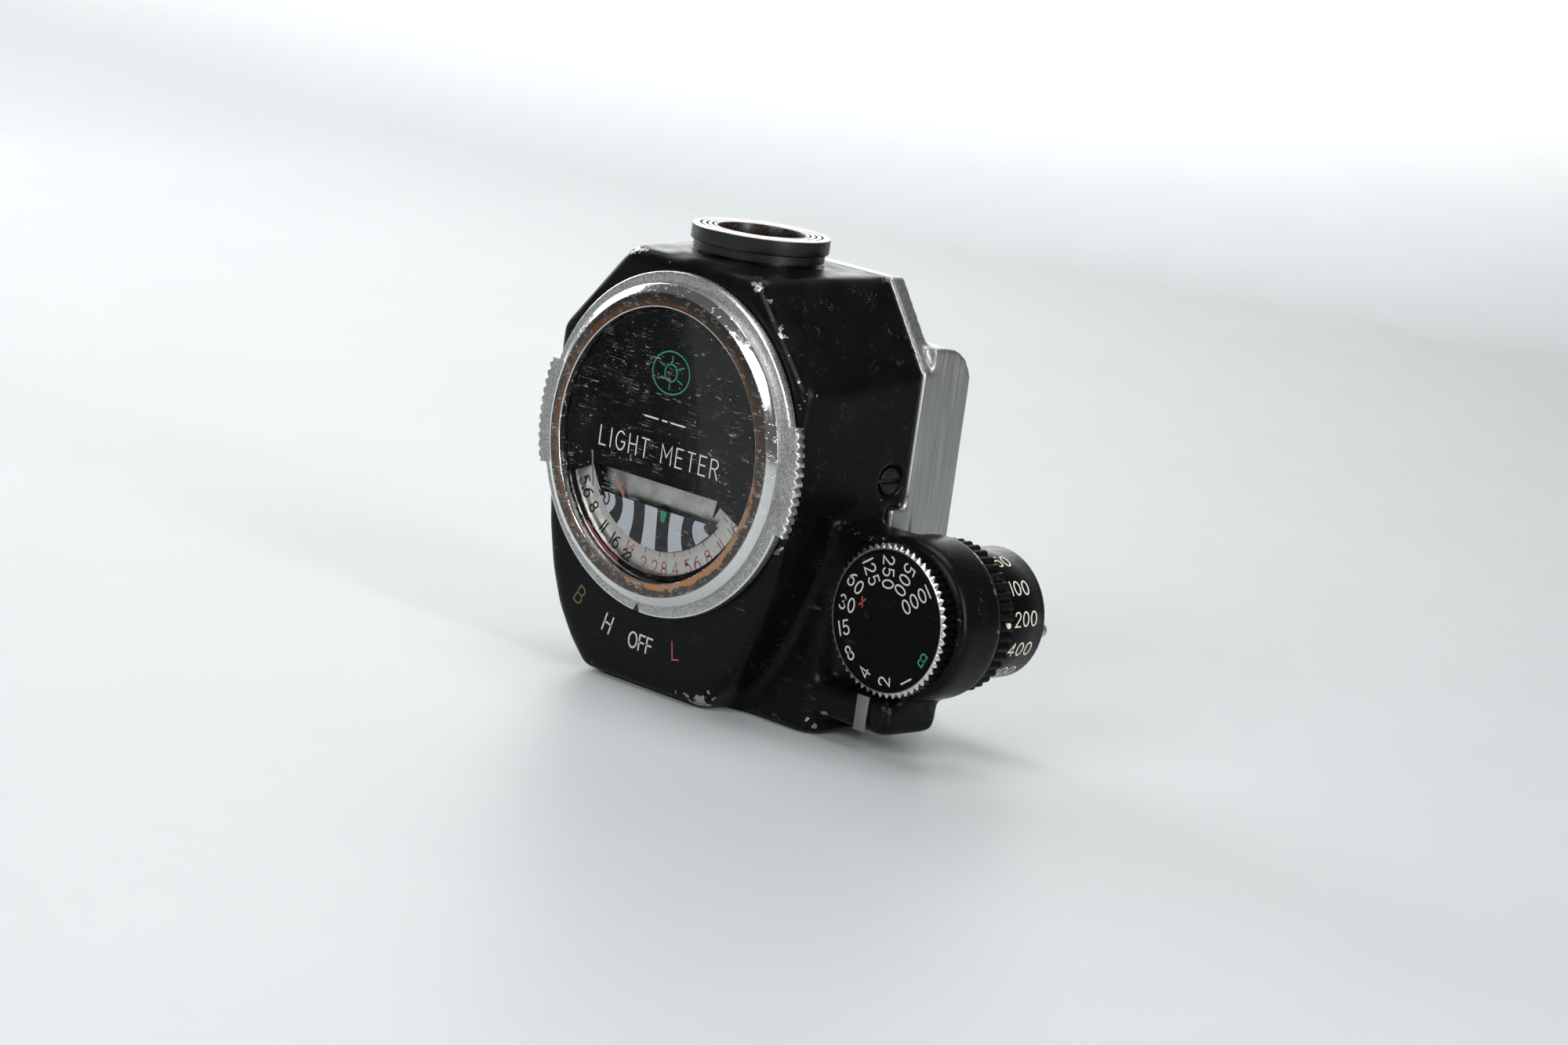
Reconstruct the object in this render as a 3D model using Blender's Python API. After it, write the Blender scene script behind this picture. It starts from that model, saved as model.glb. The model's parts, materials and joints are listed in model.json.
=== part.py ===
"""Clip-on exposure meter for a 35 mm camera, as an assembly of separate pieces.

Frame: +X towards the shutter-speed dial, -Y towards the reader of the big dial, +Z towards
the light cell. The origin is on the flat end the meter stands on, under the cell's axis.
Every length below is in millimetres and becomes metres where a mesh is made.
Angles are in degrees, counted anticlockwise from +X by someone who looks at the big dial.
"""
import math

import bmesh
import bpy
from mathutils import Vector

MM = 0.001

# ---- driving dimensions -------------------------------------------------------------------
GAP = 0.25                 # clearance between pieces that touch
WALL = 1.6                 # housing wall

FRONT_Y = -11.0            # housing front face
BACK_Y = 9.5               # housing back edge, where the base casting begins
TOP_Z_FRONT = 55.5
TOP_Z_BACK = 56.2
SADDLE_Y = 12.5            # floor of the saddle that sits on the camera
LEG_BACK_Y = 19.0
LEG_INNER_X = 15.5
LEG_OUTER_X = 22.0
LEG_BOTTOM_Z = 3.2
LEG_TOP_Z = 48.5

DIAL_Z = 32.0              # height of the big dial's axis, at x = 0
BEZEL_R = 20.5
BEZEL_BORE_R = 17.45
SPIGOT_R = 18.4
RING_R = 22.0
RING_FRONT_Y = -12.5
RING_BACK_Y = FRONT_Y - 0.2
GLASS_R = 17.2

KNOB_X = 34.0              # axis of the shutter-speed dial and of its barrel
KNOB_Z = 17.05
KNOB_FRONT_Y = -4.5
KNOB_BACK_Y = -2.3
BARREL_R = 10.4
BARREL_FRONT_Y = -2.0
BARREL_BACK_Y = 5.8
DRUM_R = 8.35
DRUM_BACK_Y = 16.2
SHAFT_R = 1.9

GEAR_MODULE = 0.9
SCALE_TEETH = 40
IDLER_TEETH = 16
DRIVE_TEETH = 16
GEAR_Y = (0.2, 1.4)
TOOTH_TIP = 0.08           # half a tooth at its tip and at its root, in tooth pitches
TOOTH_ROOT = 0.24

CLIP_HALF = 13.2            # half width of the eyepiece clip
CLIP_SCREW_X = 11.2

LEFT_REACH = 1.4            # how much further out the housing's front left half stands

CELL_TOP_Z = 59.7
CELL_R = 8.9
CELL_HOLE_R = 5.6

PIVOT_Z = DIAL_Z - 11.0    # needle axis, under the striped plate

BATTERY_Z = 22.0
BATTERY_R = 7.75

COLOURS = {
    "black_enamel": ((0.012, 0.012, 0.013), 0.35, 0.3),
    "satin_aluminium": ((0.60, 0.61, 0.61), 0.38, 1.0),
    "chrome": ((0.75, 0.75, 0.74), 0.18, 1.0),
    "blasted_chrome": ((0.62, 0.62, 0.61), 0.42, 1.0),
    "brass": ((0.70, 0.52, 0.24), 0.35, 1.0),
    "steel": ((0.50, 0.50, 0.50), 0.35, 1.0),
    "magnet_steel": ((0.20, 0.20, 0.21), 0.5, 0.9),
    "clear_glass": ((0.90, 0.95, 0.95), 0.05, 0.0),
    "black_plastic": ((0.02, 0.02, 0.02), 0.45, 0.0),
    "grey_print": ((0.55, 0.56, 0.56), 0.5, 0.0),
    "brown_board": ((0.22, 0.11, 0.05), 0.6, 0.0),
    "copper_wire": ((0.72, 0.35, 0.20), 0.35, 1.0),
    "needle_red": ((0.60, 0.20, 0.18), 0.5, 0.0),
    "resistor_tan": ((0.55, 0.42, 0.28), 0.5, 0.0),
}


# ---- making meshes ------------------------------------------------------------------------
def material(name):
    """One Principled material for each named finish."""
    found = bpy.data.materials.get(name)
    if found:
        return found
    colour, roughness, metallic = COLOURS[name]
    made = bpy.data.materials.new(name)
    made.use_nodes = True
    shader = made.node_tree.nodes["Principled BSDF"]
    shader.inputs["Base Color"].default_value = (*colour, 1.0)
    shader.inputs["Roughness"].default_value = roughness
    shader.inputs["Metallic"].default_value = metallic
    return made


def polar(radius, degrees):
    """A point (x, z) at an angle as the reader of the big dial sees it."""
    turn = math.radians(degrees)
    return radius * math.cos(turn), radius * math.sin(turn)


def finish(name, bm, finish_name, at=(0, 0, 0)):
    """Turn a bmesh in millimetres into a linked object whose origin is at a point."""
    bmesh.ops.scale(bm, vec=(MM, MM, MM), verts=bm.verts)
    bmesh.ops.recalc_face_normals(bm, faces=bm.faces)
    mesh = bpy.data.meshes.new(name)
    bm.to_mesh(mesh)
    bm.free()
    mesh.shade_smooth()
    mesh.set_sharp_from_angle(angle=math.radians(30))
    mesh.materials.append(material(finish_name))
    thing = bpy.data.objects.new(name, mesh)
    thing.location = Vector(at) * MM
    bpy.context.scene.collection.objects.link(thing)
    return thing


def turned(name, profile, steps, finish_name, at=(0, 0, 0), axis="Y", hollow=True):
    """A turned piece. profile is a list of (radius, height), or a function of the angle.

    steps is how many angles the profile stands at, or the list of those angles. A hollow
    piece's profile is a closed loop; a solid one's runs from one end face to the other and
    both ends are capped.
    """
    bm = bmesh.new()
    rings = []
    angles = [360 * step / steps for step in range(steps)] if isinstance(steps, int) else steps
    for degrees in angles:
        points = profile(degrees) if callable(profile) else profile
        ring = []
        for radius, height in points:
            u, v = polar(radius, degrees)
            place = {"Y": (u, height, v), "Z": (u, v, height), "X": (height, u, v)}[axis]
            ring.append(bm.verts.new(place))
        rings.append(ring)
    count = len(rings[0])
    for step, here in enumerate(rings):
        there = rings[(step + 1) % len(rings)]
        for index in range(count if hollow else count - 1):
            after = (index + 1) % count
            bm.faces.new((here[index], here[after], there[after], there[index]))
    if not hollow:
        bm.faces.new([ring[0] for ring in rings])
        bm.faces.new([ring[-1] for ring in rings])
    return finish(name, bm, finish_name, at)


def slab(name, outline, low, high, finish_name, at=(0, 0, 0), axis="Y"):
    """An outline extruded along an axis: (x, z) along Y, (x, y) along Z, (y, z) along X."""
    bm = bmesh.new()
    places = {"Y": lambda u, v: (u, low, v), "Z": lambda u, v: (u, v, low),
              "X": lambda u, v: (low, u, v)}[axis]
    face = bm.faces.new([bm.verts.new(places(u, v)) for u, v in outline])
    grown = bmesh.ops.extrude_face_region(bm, geom=[face])
    moved = [part for part in grown["geom"] if isinstance(part, bmesh.types.BMVert)]
    along = {"Y": (0, high - low, 0), "Z": (0, 0, high - low), "X": (high - low, 0, 0)}[axis]
    bmesh.ops.translate(bm, vec=along, verts=moved)
    return finish(name, bm, finish_name, at)


def box(name, low, high, finish_name, at=(0, 0, 0), rounding=0.0, segments=2):
    """A box between two corners, with rounded edges if asked."""
    bm = bmesh.new()
    bmesh.ops.create_cube(bm, size=1)
    size = [b - a for a, b in zip(low, high)]
    middle = [(a + b) / 2 for a, b in zip(low, high)]
    bmesh.ops.scale(bm, vec=size, verts=bm.verts)
    bmesh.ops.translate(bm, vec=middle, verts=bm.verts)
    if rounding:
        bmesh.ops.bevel(bm, geom=list(bm.edges), offset=rounding, segments=segments,
                        profile=0.5, affect="EDGES")
    return finish(name, bm, finish_name, at)


def cylinder(name, radius, low, high, finish_name, at=(0, 0, 0), axis="Y", steps=24):
    return turned(name, [(radius, low), (radius, high)], steps, finish_name, at, axis,
                  hollow=False)


def hide(tool):
    """A cutter or a shape that another piece absorbs is never a piece itself."""
    tool.hide_render = True
    tool.display_type = "WIRE"
    return tool


def combine(piece, tool, operation):
    step = piece.modifiers.new(operation.lower() + "_" + tool.name, "BOOLEAN")
    step.operation = operation
    step.solver = "EXACT"
    step.object = hide(tool)


def join(piece, *tools):
    for tool in tools:
        combine(piece, tool, "UNION")


def cut(piece, *tools):
    for tool in tools:
        combine(piece, tool, "DIFFERENCE")


# ---- outlines -----------------------------------------------------------------------------
def curve(start, bend, end, steps):
    """Points on a quadratic curve, without its end point."""
    points = []
    for step in range(steps):
        t = step / steps
        points.append(tuple((1 - t) ** 2 * a + 2 * t * (1 - t) * b + t * t * c
                            for a, b, c in zip(start, bend, end)))
    return points


def arc(centre, radius, start, end, steps):
    """Points on an arc, both ends included."""
    points = []
    for step in range(steps + 1):
        u, v = polar(radius, start + (end - start) * step / steps)
        points.append((centre[0] + u, centre[1] + v))
    return points


def housing_outline(back, inset=0.0):
    """The housing's front or back outline, drawn inwards by a wall if asked.

    In front, the half away from the barrel stands further out than the other one.
    """
    if back:
        side, low, foot = (22.0, 30.0), (21.6, 8.0), (11.5, 0.0)
        shoulder, crown = (22.1, 45.2), (14.2, TOP_Z_BACK)
        further = 0.0
    else:
        side, low, foot = (21.2, 30.0), (20.2, 8.0), (10.6, 0.0)
        shoulder, crown = (21.6, 43.1), (10.8, TOP_Z_FRONT)
        further = LEFT_REACH
    right = list(reversed(curve(side, low, foot, 6)))
    right = [foot] + right + [shoulder, crown]
    left = [(-x - further * min(1.0, 0.4 + z / 13.0), z) for x, z in reversed(right)]
    outline = right + left
    return inwards(outline, inset) if inset else outline


def inwards(outline, distance):
    """A convex anticlockwise outline moved inwards by a distance."""
    count = len(outline)
    moved = []
    for index in range(count):
        before = Vector(outline[index - 1])
        here = Vector(outline[index])
        after = Vector(outline[(index + 1) % count])
        first = (here - before).normalized()
        second = (after - here).normalized()
        lean = (Vector((-first.y, first.x)) + Vector((-second.y, second.x))).normalized()
        reach = distance / max(0.5, lean.dot(Vector((-first.y, first.x))))
        moved.append(tuple(here + lean * reach))
    return moved


def loft(name, front, back, front_y, back_y, finish_name, rounding=0.0):
    """A body between two outlines of equal point count, with its front rim rounded."""
    bm = bmesh.new()
    near = [bm.verts.new((x, front_y, z)) for x, z in front]
    far = [bm.verts.new((x, back_y, z)) for x, z in back]
    count = len(near)
    face = bm.faces.new(near)
    bm.faces.new(far)
    for index in range(count):
        after = (index + 1) % count
        bm.faces.new((near[index], near[after], far[after], far[index]))
    if rounding:
        bmesh.ops.recalc_face_normals(bm, faces=bm.faces)
        bmesh.ops.bevel(bm, geom=list(face.edges), offset=rounding, segments=3, profile=0.5,
                        affect="EDGES", clamp_overlap=True)
    return finish(name, bm, finish_name)


# ---- gears --------------------------------------------------------------------------------
def gear_radius(teeth, phase):
    """The outer radius of a gear as a function of the angle; phase is a tooth's centre."""
    pitch = GEAR_MODULE * teeth / 2
    tip, root = pitch + 0.8 * GEAR_MODULE, pitch - 1.05 * GEAR_MODULE

    def radius(degrees):
        part = abs(((degrees - phase) * teeth / 360 + 0.5) % 1 - 0.5)
        return tip if part < (TOOTH_TIP + TOOTH_ROOT) / 2 else root
    return radius


def gear_angles(teeth, phase):
    """The four corners of each tooth, as angles in rising order."""
    corners = (-TOOTH_ROOT, -TOOTH_TIP, TOOTH_TIP, TOOTH_ROOT)
    return [phase + (tooth + corner) * 360 / teeth for tooth in range(teeth)
            for corner in corners]


IDLER_R = GEAR_MODULE * IDLER_TEETH / 2
DRIVE_R = GEAR_MODULE * DRIVE_TEETH / 2
SCALE_R = GEAR_MODULE * SCALE_TEETH / 2


def idler_centre():
    """Where the idler touches both other gears, below the line between their axes."""
    span = Vector((KNOB_X, KNOB_Z - DIAL_Z))
    to_scale, to_drive = SCALE_R + IDLER_R, DRIVE_R + IDLER_R
    along = (to_scale ** 2 - to_drive ** 2 + span.length_squared) / (2 * span.length)
    aside = math.sqrt(to_scale ** 2 - along ** 2)
    unit = span.normalized()
    spot = unit * along + Vector((unit.y, -unit.x)) * aside
    return spot.x, spot.y + DIAL_Z


def heading(start, end):
    return math.degrees(math.atan2(end[1] - start[1], end[0] - start[0]))


def meshed_phase(teeth, own_heading, other_teeth, other_heading, other_phase):
    """The tooth angle that puts this gear's gaps on the other gear's teeth."""
    other_part = (other_heading - other_phase) * other_teeth / 360
    return own_heading - (0.5 - other_part) * 360 / teeth


# ---- housing and base ---------------------------------------------------------------------
def make_housing():
    """The black casting: a shell open at the back, its speed-dial barrel, web and foot."""
    housing = loft("housing", housing_outline(False), housing_outline(True), FRONT_Y, BACK_Y,
                   "black_enamel", rounding=1.1)
    axis = (KNOB_X, 0, KNOB_Z)
    web = bmesh.new()
    bottom = [(8, -5.6), (24.6, -5.6), (24.3, 6.8), (8, 6.8)]
    top = [(8, -1.8), (23.4, -1.8), (23.4, 6.8), (8, 6.8)]
    low = [web.verts.new((x, y, 0.0)) for x, y in bottom]
    high = [web.verts.new((x, y, 26.4)) for x, y in top]
    web.faces.new(low)
    web.faces.new(high)
    for index in range(4):
        after = (index + 1) % 4
        web.faces.new((low[index], low[after], high[after], high[index]))
    bmesh.ops.recalc_face_normals(web, faces=web.faces)
    upright = [edge for edge in web.edges
               if abs(edge.verts[0].co.z - edge.verts[1].co.z) > 1 and edge.verts[0].co.x > 20]
    bmesh.ops.bevel(web, geom=upright, offset=1.6, segments=3, profile=0.5, affect="EDGES")
    join(housing,
         finish("web_shape", web, "black_enamel"),
         box("bridge_shape", (18, BARREL_FRONT_Y, 7.5), (KNOB_X, BARREL_BACK_Y, 26.6), "black_enamel",
             rounding=1.0),
         box("foot_shape", (23.2, -4.6, 2.5), (36.4, 5.5, 7.1), "black_enamel", rounding=0.9),
         box("foot_rise_shape", (24.2, BARREL_FRONT_Y + 0.1, 5.0), (35.6, 5.3, 12.0),
             "black_enamel"),
         turned("barrel_shape", [(BARREL_R - 0.9, BARREL_FRONT_Y), (BARREL_R - 0.25, -1.75),
                                 (BARREL_R, -1.1), (BARREL_R, BARREL_BACK_Y)], 48,
                "black_enamel", axis, hollow=False),
         cylinder("cell_pad_shape", 10.2, 54.5, 56.35, "black_enamel", axis="Z", steps=48))
    cut(housing,
        loft("cavity_shape", housing_outline(False, WALL), housing_outline(True, WALL),
             FRONT_Y + WALL, BACK_Y + 0.5, "black_enamel"),
        cylinder("dial_hole_shape", SPIGOT_R + 0.2, FRONT_Y - 1, FRONT_Y + WALL + 1,
                 "black_enamel", (0, 0, DIAL_Z), steps=64),
        slab("stud_slot_shape", arc((0, 0), SPIGOT_R - 0.4, 58, 109, 8)
             + list(reversed(arc((0, 0), 20.45, 58, 109, 8))), FRONT_Y - 1,
             FRONT_Y + WALL + 1, "black_enamel", (0, 0, DIAL_Z)),
        cylinder("cell_hole_shape", 7.65, 52, 58, "black_enamel", axis="Z", steps=40),
        cylinder("barrel_bore_shape", 9.0, -0.8, BARREL_BACK_Y + 1, "black_enamel", axis,
                 steps=40),
        cylinder("bush_hole_shape", 3.15, -3, 0, "black_enamel", axis, steps=24),
        gear_slot(),
        cylinder("idler_pin_hole_shape", 1.3, -1.7, 3.6, "black_enamel",
                 (idler_centre()[0], 0, idler_centre()[1]), steps=20),
        box("side_notch_shape", (18.9, 7.1, -1), (30, BACK_Y + 1, 28.0), "black_enamel"),
        box("back_trim_shape", (-12, BACK_Y, 50), (12, BACK_Y + 3, 60), "black_enamel"),
        box("index_groove_shape", (31.05, -6, 2.0), (33.45, -4.1, 8.0), "black_enamel"))
    for side in (-1, 1):
        cut(housing,
            cylinder(f"side_hole_shape_{side}", 1.3, side * 19, side * 24, "black_enamel",
                     (0, 6.6, 31.5), axis="X", steps=20),
            cylinder(f"side_sink_shape_{side}", 2.05, side * 21.0, side * 24, "black_enamel",
                     (0, 6.6, 31.5), axis="X", steps=24))


def gear_slot():
    """The narrow room that the idler turns in, from the housing into the barrel."""
    x, z = idler_centre()
    reach = IDLER_R + GEAR_MODULE + 0.3
    outline = [(x - reach - 4, z - reach), (x, z - reach)]
    outline += arc((x, z), reach, -80, 0, 6)
    outline += [(KNOB_X - 3, z), (KNOB_X - 3, z + reach - 1.5), (x, z + reach),
                (x - reach - 4, z + reach)]
    return slab("gear_slot_shape", outline, -0.6, 2.4, "black_enamel")


def leg_outline():
    """A leg from the side: square in front, with a round shoulder at the top of its back."""
    shoulder = 5.0
    return ([(SADDLE_Y - 1, LEG_BOTTOM_Z), (LEG_BACK_Y, LEG_BOTTOM_Z)]
            + arc((LEG_BACK_Y - shoulder, LEG_TOP_Z - shoulder), shoulder, 0, 90, 6)
            + [(SADDLE_Y - 1, LEG_TOP_Z)])


def make_base():
    """The bright casting that closes the housing and saddles the camera's prism."""
    plate_y = BACK_Y + GAP
    base = slab("base_casting", housing_outline(True), plate_y, SADDLE_Y, "satin_aluminium")
    for side in (-1, 1):
        inner, outer = sorted((side * LEG_INNER_X, side * LEG_OUTER_X))
        join(base, slab(f"leg_shape_{side}", leg_outline(), inner, outer, "satin_aluminium",
                        axis="X"))
        near, far = sorted((side * 17.4, side * 19.75))
        join(base, box(f"lug_shape_{side}", (near, 4.0, 28.0), (far, plate_y + 1, 35.0),
                       "satin_aluminium"))
        cut(base, cylinder(f"lug_hole_shape_{side}", 1.25, side * 16, side * 21.5,
                           "satin_aluminium", (0, 6.6, 31.5), axis="X", steps=16))
    join(base, box("apron_shape", (19.2, 7.1 + GAP, LEG_BOTTOM_Z), (LEG_OUTER_X, plate_y + 1,
                                                                   28.0 - GAP),
                   "satin_aluminium"))
    cut(base, cylinder("battery_hole_shape", BATTERY_R + 0.95, plate_y - 1, SADDLE_Y + 1,
                       "satin_aluminium", (0, 0, BATTERY_Z), steps=40))
    for x, z in base_screw_places():
        cut(base, turned(f"base_screw_sink_{x:.0f}_{z:.0f}",
                         [(1.2, plate_y - 1), (1.2, SADDLE_Y - 0.9), (2.0, SADDLE_Y - 0.9),
                          (2.0, SADDLE_Y + 1)], 20, "satin_aluminium", (x, 0, z),
                         hollow=False))


def base_screw_places():
    return [(-9.5, 50.5), (9.5, 50.5), (-8.5, 5.0), (8.5, 5.0)]


def make_screw(name, head_r, shank_r, head_low, head_high, shank_end, at, axis="Y"):
    """A slotted cheese-head screw along an axis; its head is between two heights."""
    outward = 1 if head_high > shank_end else -1
    screw = turned(name, [(head_r, head_high), (head_r, head_low), (shank_r, head_low),
                          (shank_r, shank_end)], 14, "steel", at, axis, hollow=False)
    deep = head_high - outward * 0.35
    low, high = sorted((deep, head_high + outward))
    reach = head_r + 1
    corners = {"Y": ((-reach, low, -0.25), (reach, high, 0.25)),
               "X": ((low, -reach, -0.25), (high, reach, 0.25)),
               "Z": ((-reach, -0.25, low), (reach, 0.25, high))}[axis]
    cut(screw, box(name + "_slot_shape", *corners, "steel", at))
    return screw


def make_fasteners():
    for index, (x, z) in enumerate(base_screw_places(), start=1):
        make_screw(f"base_screw_{index}", 1.75, 0.95, SADDLE_Y - 0.65, SADDLE_Y - 0.05, 6.0,
                   (x, 0, z))
    for side, word in ((-1, "left"), (1, "right")):
        make_screw(f"side_screw_{word}", 1.8, 1.0, side * 21.15, side * 21.75, side * 17.0,
                   (0, 6.6, 31.5), axis="X")
        make_screw(f"clip_screw_{word}", 1.4, 0.8, 0.75, 0.2, 5.5, (side * CLIP_SCREW_X, 14.6, 0),
                   axis="Z")


def make_eyepiece_clip():
    """The sheet frame that slides on the camera's eyepiece, with a window to look through."""
    clip = box("eyepiece_clip", (-CLIP_HALF, SADDLE_Y + GAP, 1.0),
               (CLIP_HALF, 18.8, 2.0), "steel")
    join(clip, box("clip_tab_shape_left", (-CLIP_HALF, SADDLE_Y + GAP, 1.0),
                   (-9.2, 16.6, 5.9), "steel"),
         box("clip_tab_shape_right", (9.2, SADDLE_Y + GAP, 1.0), (CLIP_HALF, 16.6, 5.9),
             "steel"))
    cut(clip, box("clip_window_shape", (-8.0, 14.4, 0), (8.0, 19.5, 3), "steel"))
    for side in (-1, 1):
        cut(clip, cylinder(f"clip_hole_shape_{side}", 1.05, 0, 7, "steel",
                           (side * CLIP_SCREW_X, 14.6, 0), axis="Z", steps=16),
            cylinder(f"clip_sink_shape_{side}", 1.7, 0, 1.0, "steel",
                     (side * CLIP_SCREW_X, 14.6, 0), axis="Z", steps=16))


def make_index_strip():
    box("index_strip", (31.3, -4.75, 2.6), (33.2, -4.35, 7.1), "steel")


# ---- light cell ---------------------------------------------------------------------------
def make_cell():
    seat_z = 58.2
    turned("cell_window_ring",
           [(CELL_HOLE_R, seat_z), (CELL_HOLE_R, CELL_TOP_Z - 0.25),
            (CELL_HOLE_R + 0.25, CELL_TOP_Z), (CELL_R - 0.15, CELL_TOP_Z),
            (CELL_R, CELL_TOP_Z - 0.15), (CELL_R, CELL_TOP_Z - 2.0),
            (CELL_R - 0.45, CELL_TOP_Z - 2.1), (CELL_R - 0.45, 56.6), (7.35, 56.6),
            (7.35, 54.6), (6.75, 54.6), (6.75, seat_z)], 40, "black_enamel", axis="Z")
    cylinder("cell_glass", 6.5, 57.0, seat_z - 0.2, "clear_glass", axis="Z", steps=32)
    turned("cell_tube", [(5.5, 51.5), (6.4, 51.5), (6.4, 56.8), (5.0, 56.8), (5.0, 53.6),
                         (5.5, 53.6)], 32, "black_plastic", axis="Z")
    cylinder("cds_cell", 5.2, 51.6, 53.4, "brown_board", axis="Z", steps=24)


# ---- big dial -----------------------------------------------------------------------------
def make_bezel():
    turned("dial_bezel",
           [(BEZEL_BORE_R, -9.8), (BEZEL_BORE_R, -14.05), (17.6, -14.2), (19.4, -14.0),
            (BEZEL_R, -13.3), (BEZEL_R, -12.25), (SPIGOT_R, -12.25), (SPIGOT_R, -9.8)], 48,
           "chrome", (0, 0, DIAL_Z))
    cylinder("dial_glass", GLASS_R, -14.0, -13.2, "clear_glass", (0, 0, DIAL_Z), steps=48)


def make_dial_face():
    """The black mask with its window, the striped plate and the bright plate behind."""
    mask = cylinder("dial_mask", GLASS_R, -12.95, -12.65, "black_plastic", (0, 0, DIAL_Z),
                    steps=48)
    cut(mask, slab("scale_window_shape", arc((0, 0), 12.6, -158, -24, 16)
                   + list(reversed(arc((0, 0), 16.6, -158, -24, 16))), -13.5, -12,
                   "black_plastic", (0, 0, DIAL_Z)),
        slab("needle_window_shape", [(-10.9, -4.8), (10.9, -4.8), (10.2, -8.3)]
             + arc((0, 0), 13.0, -42, -132, 8) + [(-9.2, -8.3)], -13.5, -12,
             "black_plastic", (0, 0, DIAL_Z)))
    slab("stripe_plate", arc((0, 0), 13.6, -143, -37, 12), -12.5, -12.3, "grey_print",
         (0, 0, DIAL_Z))
    plate = slab("needle_backplate", arc((0, 0), 14.6, 196, 344, 16), -10.9, -10.7,
                 "satin_aluminium", (0, 0, DIAL_Z))
    cut(plate, cylinder("staff_hole_shape", 0.9, -12, -10, "satin_aluminium",
                        (0, 0, PIVOT_Z), steps=16))


def make_scale(phase):
    """The f-number disc with its tube round the movement, and the gear at its back."""
    turned("scale_disc", [(13.2, -12.1), (17.1, -12.1), (17.1, 0.0), (16.6, 0.0),
                          (16.6, -11.7), (13.2, -11.7)], 48, "grey_print", (0, 0, DIAL_Z))
    outer = gear_radius(SCALE_TEETH, phase)
    turned("scale_gear", lambda degrees: [(15.0, GEAR_Y[0]), (outer(degrees), GEAR_Y[0]),
                                          (outer(degrees), GEAR_Y[1]), (15.0, GEAR_Y[1])],
           gear_angles(SCALE_TEETH, phase), "brass", (0, 0, DIAL_Z))


def make_selector_ring():
    """The blasted ring with two knurled lobes, an index notch and its lip under the bezel."""
    lobe_teeth, lobe_pitch = 12, 3.0
    edge = lobe_teeth * lobe_pitch / 2
    plain = [step * 6 for step in range(4, 27)]
    lobe = [-edge - 1.2] + [-edge + step * lobe_pitch / 2 for step in range(2 * lobe_teeth + 1)]
    angles = []
    for centre in (0, 180):
        angles += [centre + degrees for degrees in lobe + [edge + 1.2]]
        angles += [centre + degrees for degrees in plain]

    def section(degrees):
        offset = (degrees + 90) % 180 - 90
        outer = RING_R
        if abs(offset) <= edge:
            outer = 23.35 if round((offset + edge) / lobe_pitch * 2) % 2 else 23.1
        return [(20.8, RING_FRONT_Y), (outer - 0.25, RING_FRONT_Y), (outer, RING_FRONT_Y + 0.25),
                (outer, RING_BACK_Y), (18.75, RING_BACK_Y), (18.75, -11.95), (20.8, -11.95)]
    ring = turned("selector_ring", section, angles, "blasted_chrome", (0, 0, DIAL_Z))
    x, z = polar(RING_R, -93)
    notch = box("index_notch_shape", (-0.22, -14, -0.9), (0.22, RING_BACK_Y - 0.4, 0.9),
                "chrome", (x, 0, DIAL_Z + z))
    cut(ring, notch)
    wiper = slab("switch_wiper", arc((0, 0), 18.95, 84, 96, 3)
                 + list(reversed(arc((0, 0), 21.4, 84, 96, 3))), -9.1, -8.7, "brass",
                 (0, 0, DIAL_Z))
    join(wiper, cylinder("stud_shape", 0.55, RING_BACK_Y + 0.2, -8.9, "brass",
                         (0, 0, DIAL_Z + 19.6), steps=12))
    slab("switch_base", arc((0, 0), 18.95, 52, 116, 10)
         + list(reversed(arc((0, 0), 21.6, 52, 116, 10))), -8.4, -7.4, "brown_board",
         (0, 0, DIAL_Z))


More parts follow.
